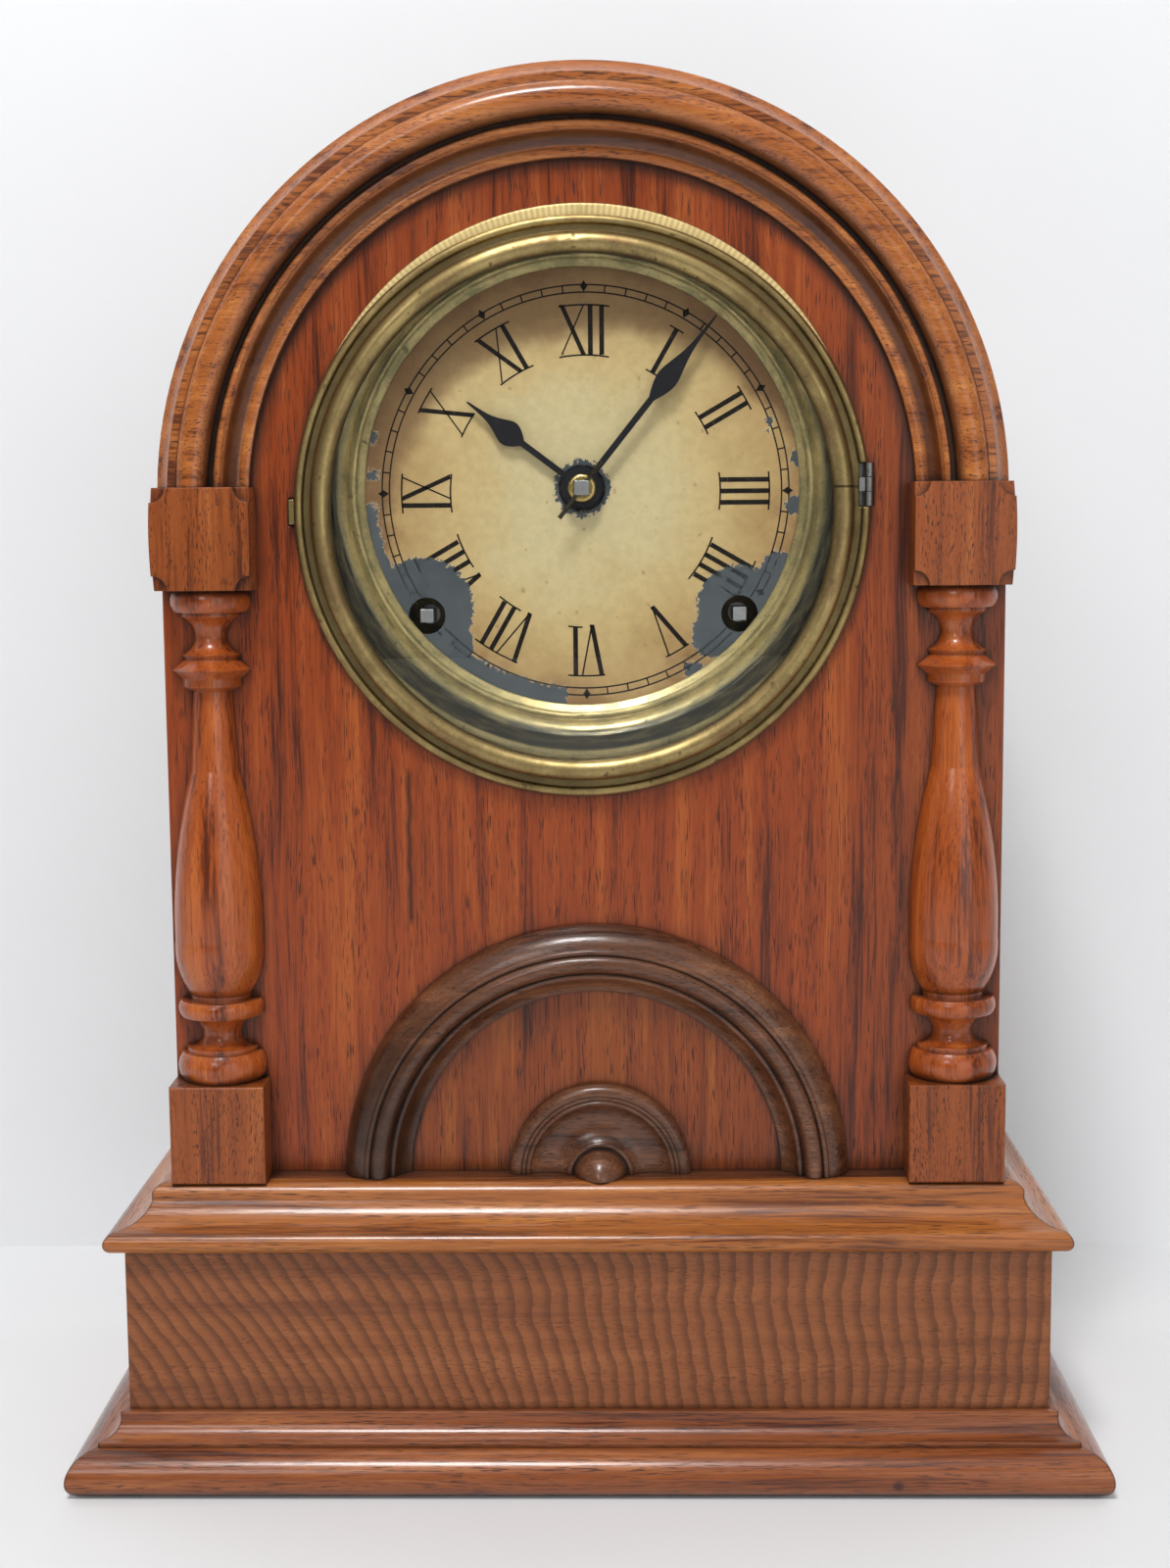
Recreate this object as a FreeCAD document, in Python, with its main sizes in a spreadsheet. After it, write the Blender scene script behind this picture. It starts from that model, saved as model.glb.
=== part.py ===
# Round-top shelf clock: walnut case on a moulded base, brass bezel, paper dial,
# eight-day time and strike movement with lantern pinions, rear pendulum and coil gong.
# Millimetres. +Z is up, the dial faces -Y, and the origin is the middle of the footprint.
import FreeCAD, Part
import Sketcher
import math
import os

V = FreeCAD.Vector

SIZES = {
    # whole clock: its width and height grow outwards from the dial by these rooms
    "overall_depth": 150.0,
    "arch_room": 13.5,
    "frieze_step": 13.2,
    "field_gap": 39.8,
    "dial_rise": 3.5,
    "quirk": 0.6,
    # base mouldings: out is how far each stands in front of the frieze
    "foot_out": 16.8,
    "foot_height": 13.0,
    "foot_toe": 5.0,
    "ogee_out": 8.2,
    "ogee_height": 8.9,
    "ogee_fillet": 1.6,
    "ogee_top_out": 2.4,
    "frieze_height": 50.3,
    "board_thick": 10.0,
    "base_back_thick": 8.0,
    "surbase_out": 5.5,
    "surbase_height": 17.9,
    "surbase_nose": 6.2,
    "surbase_top_in": 7.2,
    "surbase_top_round": 3.0,
    "surbase_round_drop": 2.3,
    "surbase_fillet": 2.6,
    "surbase_inset": 14.0,
    "deck_thick": 10.0,
    # case
    "panel_set_back": 21.6,
    "panel_thick": 8.0,
    "shell_thick": 6.0,
    "block_width": 29.0,
    "block_height": 30.4,
    "block_depth": 14.0,
    "block_bow": 0.7,
    "scallop_radius": 4.4,
    "scallop_depth": 2.5,
    "cap_top_rise": 4.4,
    # arch moulding over the dial, bands from the outside inwards
    "arch_outer_height": 3.0,
    "arch_slope_width": 4.3,
    "arch_slope_top": 8.6,
    "arch_fillet_width": 2.4,
    "arch_fillet_height": 9.6,
    "arch_torus_width": 9.4,
    "arch_torus_crown": 4.4,
    "arch_groove_width": 1.2,
    "arch_groove_depth": 1.6,
    "arch_bead_width": 2.4,
    "arch_bead_height": 7.4,
    "arch_cove_width": 4.0,
    "arch_lip_width": 3.0,
    "arch_lip_height": 2.4,
    # lunette moulding and half rosette at the foot of the panel
    "lunette_side": 2.9,
    "lunette_radius": 77.9,
    "lunette_band_width": 6.4,
    "lunette_band_height": 8.6,
    "lunette_bead_width": 1.8,
    "lunette_torus_width": 5.4,
    "lunette_torus_crown": 2.2,
    "lunette_inner_bead": 1.8,
    "lunette_cove_width": 4.6,
    "lunette_lip_height": 1.6,
    "rosette_side": 4.2,
    "rosette_radius": 28.0,
    "rosette_rim_width": 3.4,
    "rosette_rim_height": 4.6,
    "rosette_bead_width": 1.5,
    "rosette_ring_radius": 10.4,
    "rosette_boss_radius": 8.0,
    "rosette_boss_reach": 13.5,
    # turned half columns: radii, and the heights of the turnings on a column as tall as drawn
    "column_drawn_height": 150.5,
    "column_fillet_height": 1.6,
    "column_top_ring_rise": 1.4,
    "column_top_ring_height": 2.4,
    "column_top_disc_rise": 6.4,
    "column_top_flare_rise": 11.0,
    "column_top_neck_rise": 16.5,
    "column_top_fillet": 1.3,
    "column_torus_radius": 13.7,
    "column_torus_height": 8.8,
    "column_fillet_radius": 10.9,
    "column_neck_radius": 6.4,
    "column_scotia_height": 9.7,
    "column_disc_radius": 13.2,
    "column_disc_height": 5.0,
    "column_bulb_foot_radius": 9.4,
    "column_bulb_radius": 13.5,
    "column_bulb_rise": 17.0,
    "column_waist_radius": 7.4,
    "column_waist_rise": 52.0,
    "column_shaft_radius": 6.0,
    "column_top_turning": 30.5,
    "column_top_disc_radius": 12.0,
    "column_top_ring_radius": 8.9,
    "column_top_neck_radius": 4.9,
    "column_top_torus_radius": 12.2,
    "column_top_torus_height": 6.7,
    # back board and its door
    "back_thick": 8.0,
    "back_recess": 3.0,
    "back_gap": 0.2,
    "door_width": 130.0,
    "door_height": 170.0,
    "door_bottom": 106.0,
    "door_thick": 4.7,
    "door_gap": 0.6,
    "door_stop": 5.0,
    "back_hinge_length": 26.0,
    "back_hinge_reach": 12.0,
    "back_hinge_inset": 22.0,
    "back_knuckle_radius": 1.3,
    "back_pin_radius": 0.6,
    "leaf_thick": 0.8,
    "button_length": 26.0,
    "button_width": 8.0,
    "button_thick": 2.2,
    "button_offset": 9.0,
    "running_gap": 0.3,
    "pin_gap": 0.05,
    # bezel, its glass and hinge
    "bezel_lap": 3.0,
    "bezel_drop": 6.5,
    "bezel_bead_width": 2.8,
    "bezel_flange_thick": 1.6,
    "bezel_groove_width": 2.2,
    "bezel_torus_width": 6.4,
    "bezel_torus_base": 4.6,
    "bezel_lip_thick": 0.5,
    "bezel_rebate": 2.2,
    "glass_thick": 2.0,
    "glass_gap": 0.2,
    "hinge_inset": 0.6,
    "hinge_rise": 6.8,
    "hinge_length": 12.6,
    "hinge_forward": 2.4,
    "knuckle_radius": 1.3,
    "hinge_pin_radius": 0.6,
    "hinge_leaf_reach": 3.0,
    "catch_height": 7.4,
    "catch_thick": 1.6,
    "catch_depth": 6.0,
    "catch_gap": 0.5,
    # dial
    "sight_inner_radius": 65.6,
    "sight_inner_band": 4.2,
    "sight_outer_band": 4.7,
    "sight_hole_gap": 0.5,
    "sight_flange_lap": 8.2,
    "sight_flange_thick": 0.5,
    "sight_step_depth": 3.6,
    "dial_depth": 6.8,
    "dial_pan_gap": 2.6,
    "dial_pan_thick": 0.8,
    "dial_paper_thick": 0.2,
    "dial_centre_hole": 7.0,
    "key_hole_radius": 5.6,
    "winding_spread": 95.2,
    "winding_drop": 38.2,
    # hands
    "minute_hand_length": 64.8,
    "minute_pear_width": 6.4,
    "hour_hand_length": 43.0,
    "hour_pear_width": 7.6,
    "hand_thick": 0.8,
    "hand_hub_radius": 5.8,
    "hand_arm_width": 1.9,
    "hand_tip_width": 0.5,
    "minute_hand_angle": 38.7,
    "hour_hand_angle": 307.0,
    "hour_hand_forward": 1.8,
    "hand_step": 0.8,
    "collet_radius": 4.2,
    "collet_thick": 1.4,
    "centre_arbor_radius": 3.1,
    "centre_tip_reach": 2.2,
    "taper_pin_radius": 0.7,
    "taper_pin_length": 21.2,
    "hour_pipe_radius": 4.5,
    # movement frame
    "plate_half_width": 72.0,
    "plate_top": 63.0,
    "plate_bottom": 77.0,
    "plate_thick": 2.0,
    "plate_stand_off": 12.0,
    "pillar_radius": 3.0,
    "pillar_spigot_radius": 2.0,
    "pillar_foot_radius": 6.0,
    "pillar_inset": 6.5,
    "arbor_radius": 1.2,
    "pivot_radius": 0.8,
    "winding_square": 4.0,
    "winding_arbor_radius": 3.5,
    "spring_hub_radius": 5.5,
    # depths of the trains behind the front plate
    "great_depth": 3.0,
    "great_thick": 2.0,
    "great_hub_radius": 14.5,
    "ratchet_gap": 0.4,
    "ratchet_thick": 2.0,
    "spring_gap": 1.6,
    "second_gap": 2.0,
    "train_thick": 1.5,
    "pinion_overhang": 1.8,
    "end_room": 1.7,
    "third_depth": 20.0,
    "strike_third_depth": 12.0,
    "escape_depth": 8.0,
    "escape_thick": 1.2,
    "fly_depth": 17.0,
    "fly_length": 10.0,
    # mainsprings
    "mainspring_width": 18.0,
    "mainspring_radius": 26.5,
    "mainspring_strip": 0.6,
    "mainspring_turns": 8,
    # wheel counts and modules
    "great_teeth": 78,
    "great_module": 0.82,
    "second_teeth": 60,
    "second_module": 0.7,
    "third_teeth": 48,
    "third_module": 0.6,
    "pinion_leaves": 8,
    "escape_teeth": 32,
    "escape_radius": 12.5,
    "ratchet_teeth": 18,
    "ratchet_radius": 10.5,
    "motion_module": 0.8,
    "cannon_leaves": 10,
    "motion_teeth": 30,
    "hour_teeth": 32,
    "second_arbor_side": 24.5,
    "third_arbor_side": 15.5,
    "fly_angle": 140.0,
    "fly_radius": 11.5,
    "verge_rise": 16.0,
    # pendulum, hammer and gong
    "motion_stud_length": 10.0,
    "suspension_length": 12.0,
    "suspension_lap": 1.0,
    "pendulum_length": 140.0,
    "pendulum_stand_off": 5.6,
    "rod_radius": 0.8,
    "bob_radius": 22.0,
    "bob_thick": 11.0,
    "crutch_drop": 45.0,
    "gong_radius": 42.0,
    "gong_turns": 5,
    "gong_wire": 2.8,
    "gong_pitch": 6.0,
    "gong_height": 60.0,
    "gong_forward": 2.0,
    "gong_block_width": 34.0,
    "gong_block_depth": 18.0,
    "gong_block_height": 12.0,
    "hammer_side": 58.0,
    "hammer_rise": 10.0,
    "hammer_drop": 138.5,
    "hammer_head_radius": 4.0,
    "hammer_head_length": 9.0,
    "hammer_lean": 14.0,
    "hammer_tail_length": 19.0,
}


class Dim:
    # a length that carries its value and the sheet expression that gives it

    def __init__(self, value, text):
        self.value = value
        self.text = text

    def __float__(self):
        return float(self.value)

    def joined(self, other, sign, value):
        return Dim(value, f"({self.text} {sign} {text_of(other)})")

    def __add__(self, other):
        return self.joined(other, "+", self.value + float(other))

    def __radd__(self, other):
        return self + other

    def __sub__(self, other):
        return self.joined(other, "-", self.value - float(other))

    def __rsub__(self, other):
        return Dim(float(other) - self.value, f"({text_of(other)} - {self.text})")

    def __mul__(self, other):
        return self.joined(other, "*", self.value * float(other))

    def __rmul__(self, other):
        return self * other

    def __truediv__(self, other):
        return self.joined(other, "/", self.value / float(other))

    def __neg__(self):
        return self * -1.0


def text_of(length):
    return length.text if isinstance(length, Dim) else repr(float(length))


class Sizes:
    # the driving dimensions, one attribute for each cell of the sheet

    def __init__(self, values):
        for name, value in values.items():
            setattr(self, name, Dim(value, f"Size.{name}"))


doc = FreeCAD.newDocument("ShelfClock")
sheet = doc.addObject("Spreadsheet::Sheet", "Size")
for row, (name, value) in enumerate(SIZES.items(), start=1):
    sheet.set(f"A{row}", name)
    sheet.set(f"B{row}", str(value))
    sheet.setAlias(f"B{row}", name)
doc.recompute()
s = Sizes({name: sheet.get(name) for name in SIZES})

# sagitta of a quarter circle of radius 1
QUARTER = 1.0 - math.sqrt(0.5)

# places worked out from the driving dimensions
half_depth = s.overall_depth / 2
sight_step_radius = s.sight_inner_radius + s.sight_inner_band
sight_outer_radius = sight_step_radius + s.sight_outer_band
panel_hole_radius = sight_outer_radius + s.sight_hole_gap
dial_pan_radius = panel_hole_radius - s.dial_pan_gap
sight_flange_radius = panel_hole_radius + s.sight_flange_lap
bezel_radius = sight_flange_radius + s.bezel_lap
arch_lip = bezel_radius + s.arch_room
arch_cove_in = arch_lip + s.arch_lip_width
arch_cove_out = arch_cove_in + s.arch_cove_width
arch_bead_in = arch_cove_out + s.quirk
arch_bead_out = arch_bead_in + s.arch_bead_width
arch_torus_in = arch_bead_out + s.arch_groove_width
arch_fillet_in = arch_torus_in + s.arch_torus_width
arch_slope_in = arch_fillet_in + s.arch_fillet_width
case_half = arch_slope_in + s.arch_slope_width
frieze_half = case_half + s.frieze_step
frieze_y = s.foot_out - half_depth
panel_y = frieze_y + s.panel_set_back
panel_back_y = panel_y + s.panel_thick
back_y = half_depth
box_height = s.foot_height + s.ogee_height + s.frieze_height
deck_z = box_height + s.surbase_height
bezel_z = deck_z + s.lunette_radius + s.field_gap + bezel_radius
dial_height = bezel_z + s.bezel_drop
arch_height = dial_height - s.dial_rise
column_x = case_half - s.block_width / 2
cap_top_z = arch_height + s.cap_top_rise
plinth_top_z = deck_z + s.block_height
column_height = cap_top_z - s.block_height - plinth_top_z

nodes = {}


def bind(thing, **lengths):
    for prop, length in lengths.items():
        setattr(thing, prop, float(length))
        if isinstance(length, Dim):
            thing.setExpression(prop, length.text)
    return thing


def place(thing, x=0.0, y=0.0, z=0.0, turn=None):
    thing.Placement = FreeCAD.Placement(
        V(float(x), float(y), float(z)), turn or FreeCAD.Rotation()
    )
    for axis, length in (("x", x), ("y", y), ("z", z)):
        if isinstance(length, Dim):
            thing.setExpression(f"Placement.Base.{axis}", length.text)
    return thing


def node(name, thing):
    thing.Label = name
    nodes[name] = thing
    return thing


def box(x, y, z, length, width, height):
    thing = doc.addObject("Part::Box", "Board")
    return place(bind(thing, Length=length, Width=width, Height=height), x, y, z)


def cylinder(radius, height, x, y, z, turn=None):
    thing = doc.addObject("Part::Cylinder", "Round")
    return place(bind(thing, Radius=radius, Height=height), x, y, z, turn)


def cut(base, *tools):
    for tool in tools:
        thing = doc.addObject("Part::Cut", "Cut")
        thing.Base = base
        thing.Tool = tool
        base = thing
    return base


def fused(*things):
    thing = doc.addObject("Part::MultiFuse", "Joined")
    thing.Shapes = list(things)
    return thing


def group(*things):
    thing = doc.addObject("Part::Compound", "Group")
    thing.Links = list(things)
    return thing


def mirrored(thing):
    other = doc.addObject("Part::Mirroring", "Mirrored")
    other.Source = thing
    other.Normal = V(1, 0, 0)
    return other


def new_body(x=0.0, y=0.0, z=0.0):
    return place(doc.addObject("PartDesign::Body", "Piece"), x, y, z)


def on_plane(body, role):
    sketch = body.newObject("Sketcher::SketchObject", "Outline")
    plane = [f for f in body.Origin.OriginFeatures if f.Role == role][0]
    sketch.AttachmentSupport = [(plane, "")]
    sketch.MapMode = "FlatFace"
    return sketch


def datum(sketch, kind, length, *where):
    index = sketch.addConstraint(Sketcher.Constraint(kind, *where, float(length)))
    if isinstance(length, Dim):
        sketch.setExpression(f"Constraints[{index}]", length.text)


def arc_radius(start, end, sagitta):
    # radius of the arc over a chord, as an expression of the chord's ends and the sagitta
    across = end[0] - start[0]
    along = end[1] - start[1]
    return (across * across + along * along) / (8.0 * sagitta) + sagitta / 2.0


def draw(sketch, outline):
    # a closed outline of points (x, y) or (x, y, bulge): bulge is the sagitta of the arc that
    # leads to the next point, positive where the arc swells to the right of the way there
    first = sketch.GeometryCount
    count = len(outline)
    heads, tails = [], []
    for index, point in enumerate(outline):
        after = outline[(index + 1) % count]
        a = V(float(point[0]), float(point[1]), 0)
        b = V(float(after[0]), float(after[1]), 0)
        bulge = float(point[2]) if len(point) > 2 else 0.0
        if bulge:
            right = V((b - a).y, -(b - a).x, 0).normalize()
            sketch.addGeometry(Part.Arc(a, (a + b) * 0.5 + right * bulge, b), False)
        else:
            sketch.addGeometry(Part.LineSegment(a, b), False)
        # a sketch keeps its arcs counter-clockwise, so an arc that swells left is stored reversed
        heads.append(2 if bulge < 0 else 1)
        tails.append(1 if bulge < 0 else 2)
    for index in range(count):
        after = (index + 1) % count
        sketch.addConstraint(
            Sketcher.Constraint("Coincident", first + index, tails[index], first + after, heads[after])
        )
    for index, point in enumerate(outline):
        datum(sketch, "DistanceX", point[0], -1, 1, first + index, heads[index])
        datum(sketch, "DistanceY", point[1], -1, 1, first + index, heads[index])
        if len(point) > 2:
            sagitta = point[2] if float(point[2]) > 0 else -1.0 * point[2]
            radius = arc_radius(point, outline[(index + 1) % count], sagitta)
            datum(sketch, "Radius", radius, first + index)


def draw_circle(sketch, x, y, radius):
    circle = Part.Circle(V(float(x), float(y), 0), V(0, 0, 1), float(radius))
    index = sketch.addGeometry(circle, False)
    datum(sketch, "DistanceX", x, -1, 1, index, 3)
    datum(sketch, "DistanceY", y, -1, 1, index, 3)
    datum(sketch, "Radius", radius, index)


def pad(body, outline, role, length, symmetric=False, backwards=False):
    sketch = on_plane(body, role)
    draw(sketch, outline)
    feature = body.newObject("PartDesign::Pad", "Pad")
    feature.Profile = sketch
    feature.SideType = "Symmetric" if symmetric else "One side"
    feature.Reversed = backwards
    return bind(feature, Length=length)


def pocket(body, role, outlines=(), circles=(), depth=None, backwards=False):
    # cuts through everything on both sides, or to a depth on one side
    sketch = on_plane(body, role)
    for outline in outlines:
        draw(sketch, outline)
    for circle in circles:
        draw_circle(sketch, *circle)
    feature = body.newObject("PartDesign::Pocket", "Pocket")
    feature.Profile = sketch
    feature.Reversed = backwards
    if depth is None:
        feature.Type = "ThroughAll"
        feature.SideType = "Symmetric"
    else:
        bind(feature, Length=depth)
    return feature


def revolve(body, outline, role, axis, angle=360.0, backwards=False):
    sketch = on_plane(body, role)
    draw(sketch, outline)
    feature = body.newObject("PartDesign::Revolution", "Turned")
    feature.Profile = sketch
    feature.ReferenceAxis = (sketch, [axis])
    feature.Angle = angle
    feature.Reversed = backwards
    return feature


def rectangle(x0, y0, x1, y1):
    return [(x0, y0), (x1, y0), (x1, y1), (x0, y1)]


# Base: a box of boards with three mitred mouldings round its front and sides

def moulding(name, profile, inner, outer, bottom):
    # profile holds (out, up) points, where out is measured from the face of the frieze;
    # inner and outer are the least and the greatest out, which set the mitres
    front = new_body(0.0, frieze_y, bottom)
    pad(front, [(-1.0 * p[0], *p[1:]) for p in profile], "YZ_Plane",
        2.0 * (frieze_half + outer), symmetric=True)
    right = [
        (frieze_half + inner, -1.0 * inner),
        (frieze_half + outer, -1.0 * outer),
        (frieze_half + outer, -1.0 * inner),
    ]
    left = [(-1.0 * x, y) for x, y in reversed(right)]
    pocket(front, "XY_Plane", [right, left])
    node(f"{name}_front", front)

    length = back_y - frieze_y
    side = new_body(-1.0 * frieze_half, back_y, bottom)
    pad(side, [(-1.0 * p[0], *p[1:]) for p in profile], "XZ_Plane", length + outer)
    mitre = [
        (-1.0 * inner, -1.0 * (length + inner)),
        (-1.0 * outer, -1.0 * (length + outer)),
        (-1.0 * inner, -1.0 * (length + outer)),
    ]
    pocket(side, "XY_Plane", [mitre])
    node(f"{name}_returns", group(side, mirrored(side)))


zero = 0.0 * s.foot_out
foot_round = s.foot_height - s.foot_toe
moulding("foot", [
    (zero, zero),
    (zero, s.foot_height),
    (s.foot_out - foot_round, s.foot_height, foot_round * QUARTER),
    (s.foot_out, s.foot_toe, s.foot_toe * QUARTER),
    (s.foot_out - s.foot_toe, zero),
], zero, s.foot_out, zero)

ogee_cove_foot = s.ogee_out - 0.6
ogee_cove_top = s.ogee_height - s.ogee_fillet
moulding("ogee", [
    (zero, zero),
    (zero, s.ogee_height),
    (s.ogee_top_out, s.ogee_height),
    (s.ogee_top_out, ogee_cove_top, -0.22 * ogee_cove_foot),
    (ogee_cove_foot, s.ogee_fillet),
    (s.ogee_out, s.ogee_fillet),
    (s.ogee_out, zero),
], zero, s.ogee_out, s.foot_height)

nose_half = s.surbase_nose / 2
surbase_edge = s.surbase_height - s.surbase_round_drop
surbase_cove_top = surbase_edge - s.surbase_fillet
moulding("surbase", [
    (-1.0 * s.surbase_inset, zero),
    (-1.0 * s.surbase_inset, s.surbase_height),
    (-1.0 * (s.surbase_top_in + s.surbase_top_round), s.surbase_height, 0.2 * s.surbase_round_drop),
    (-1.0 * s.surbase_top_in, surbase_edge),
    (-1.0 * s.surbase_top_in, surbase_cove_top, -0.1 * s.surbase_height),
    (s.surbase_out - nose_half, s.surbase_nose, nose_half * QUARTER),
    (s.surbase_out, nose_half, nose_half * QUARTER),
    (s.surbase_out - nose_half, zero),
], -1.0 * s.surbase_inset, s.surbase_out, box_height)

node("frieze_front", box(-1.0 * frieze_half, frieze_y, 0.0,
                         2.0 * frieze_half, s.board_thick, box_height))
frieze_side_y = frieze_y + s.board_thick
frieze_side = box(-1.0 * frieze_half, frieze_side_y, 0.0,
                  s.board_thick, back_y - frieze_side_y, box_height)
node("frieze_sides", group(frieze_side, mirrored(frieze_side)))
base_back_y = back_y - s.base_back_thick
base_back_half = frieze_half - s.board_thick
base_back = box(-1.0 * base_back_half, base_back_y, 0.0,
                2.0 * base_back_half, s.base_back_thick, box_height)
deck_half = frieze_half - s.surbase_inset
node("base_deck", box(-1.0 * deck_half, frieze_y + s.surbase_inset, deck_z - s.deck_thick,
                      2.0 * deck_half, back_y - frieze_y - s.surbase_inset, s.deck_thick))
base_back_tongue = box(-1.0 * deck_half, base_back_y, box_height,
                       2.0 * deck_half, s.base_back_thick, s.surbase_height - s.deck_thick)
node("base_back", fused(base_back, base_back_tongue))


# Case: bent shell, front panel with the dial hole, arch moulding

def round_top(half, rise, bottom):
    # outline with straight sides and a half-round head of two quarter arcs, counter-clockwise
    return [
        (-1.0 * half, bottom),
        (half, bottom),
        (half, rise, half * QUARTER),
        (zero, rise + half, half * QUARTER),
        (-1.0 * half, rise),
    ]


shell = new_body(0.0, back_y, 0.0)
shell_length = back_y - panel_back_y
pad(shell, round_top(case_half, arch_height, deck_z), "XZ_Plane", shell_length)
pocket(shell, "XZ_Plane", [round_top(case_half - s.shell_thick, arch_height, deck_z)])
node("case_shell", shell)

hinge_x = bezel_radius - s.hinge_inset
hinge_y = panel_y - s.hinge_forward
hinge_z = bezel_z + s.hinge_rise
leaf_x = hinge_x - s.hinge_leaf_reach
leaf_right = hinge_x + s.knuckle_radius
catch_x = -1.0 * (bezel_radius + s.catch_thick)

panel = new_body(0.0, panel_back_y, 0.0)
pad(panel, round_top(case_half, arch_height, deck_z), "XZ_Plane", s.panel_thick)
catch_slot = rectangle(
    catch_x - s.catch_gap, bezel_z - s.catch_height / 2 - s.catch_gap,
    catch_x + s.catch_thick + s.catch_gap, bezel_z + s.catch_height / 2 + s.catch_gap)
pocket(panel, "XZ_Plane", [catch_slot], [(zero, dial_height, panel_hole_radius)])
doc.recompute()
leaf_half = s.hinge_length / 2
leaf_recess = box(leaf_x - s.catch_gap, panel_y, hinge_z - leaf_half - s.pin_gap,
                  leaf_right - leaf_x + 2.0 * s.catch_gap, s.leaf_thick,
                  s.hinge_length + 2.0 * s.pin_gap)
node("front_panel", cut(panel, leaf_recess))

arch_torus_foot = s.arch_fillet_height - s.quirk
arch_cove_height = s.arch_bead_height - s.quirk
arch_groove_floor = s.arch_bead_height - s.arch_groove_depth
arch = new_body(0.0, panel_y, arch_height)
revolve(arch, [
    (arch_lip, zero),
    (arch_lip, -1.0 * s.arch_lip_height, 0.16 * s.arch_lip_width),
    (arch_cove_in, -1.0 * s.arch_lip_height, -0.18 * s.arch_cove_width),
    (arch_cove_out, -1.0 * arch_cove_height),
    (arch_bead_in, -1.0 * s.arch_bead_height, 0.42 * s.arch_bead_width),
    (arch_bead_out, -1.0 * s.arch_bead_height),
    (arch_bead_out, -1.0 * arch_groove_floor),
    (arch_torus_in, -1.0 * arch_groove_floor),
    (arch_torus_in, -1.0 * arch_torus_foot, s.arch_torus_crown),
    (arch_fillet_in, -1.0 * arch_torus_foot),
    (arch_fillet_in, -1.0 * s.arch_fillet_height),
    (arch_slope_in, -1.0 * s.arch_fillet_height),
    (arch_slope_in, -1.0 * s.arch_slope_top, -0.14 * s.arch_slope_width),
    (case_half, -1.0 * s.arch_outer_height),
    (case_half, zero),
], "XY_Plane", "V_Axis", 180.0, backwards=True)
pocket(arch, "XZ_Plane", [rectangle(-1.0 * case_half, zero, case_half, s.cap_top_rise)])
node("arch_moulding", arch)


# Columns: cap block with scalloped corners, turned half column, plinth block, each side

def cap_block(outer_sign):
    # the outer side of the block is slightly bowed
    half = s.block_width / 2
    block = new_body(outer_sign * column_x, panel_y, cap_top_z - s.block_height)
    outline = [
        (-1.0 * half, zero),
        (half, zero, s.block_bow),
        (half, s.block_height),
        (-1.0 * half, s.block_height),
    ]
    if outer_sign < 0:
        outline = [
            (-1.0 * half, zero),
            (half, zero),
            (half, s.block_height),
            (-1.0 * half, s.block_height, s.block_bow),
        ]
    pad(block, outline, "XZ_Plane", s.block_depth)
    doc.recompute()
    corners = []
    for x in (-1.0 * half, half):
        for z in (zero, s.block_height):
            corners.append(cylinder(
                s.scallop_radius, s.scallop_depth + 1.0,
                outer_sign * column_x + x, panel_y - s.block_depth - 1.0, cap_top_z - s.block_height + z,
                FreeCAD.Rotation(V(1, 0, 0), -90)))
    return cut(block, *corners)


def plinth_block(outer_sign):
    half = s.block_width / 2
    block = new_body(outer_sign * column_x, panel_y, deck_z)
    base = pad(block, rectangle(-1.0 * half, zero, half, s.block_height), "XZ_Plane", s.block_depth)
    doc.recompute()
    rounding = block.newObject("PartDesign::Fillet", "SoftEdges")
    front = max(base.Shape.Faces, key=lambda face: -face.CenterOfMass.y)
    edges = [index for index, edge in enumerate(base.Shape.Edges, start=1)
             if any(edge.isSame(other) for other in front.Edges)]
    rounding.Base = (base, [f"Edge{index}" for index in edges])
    rounding.Radius = 0.6
    return block


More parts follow.
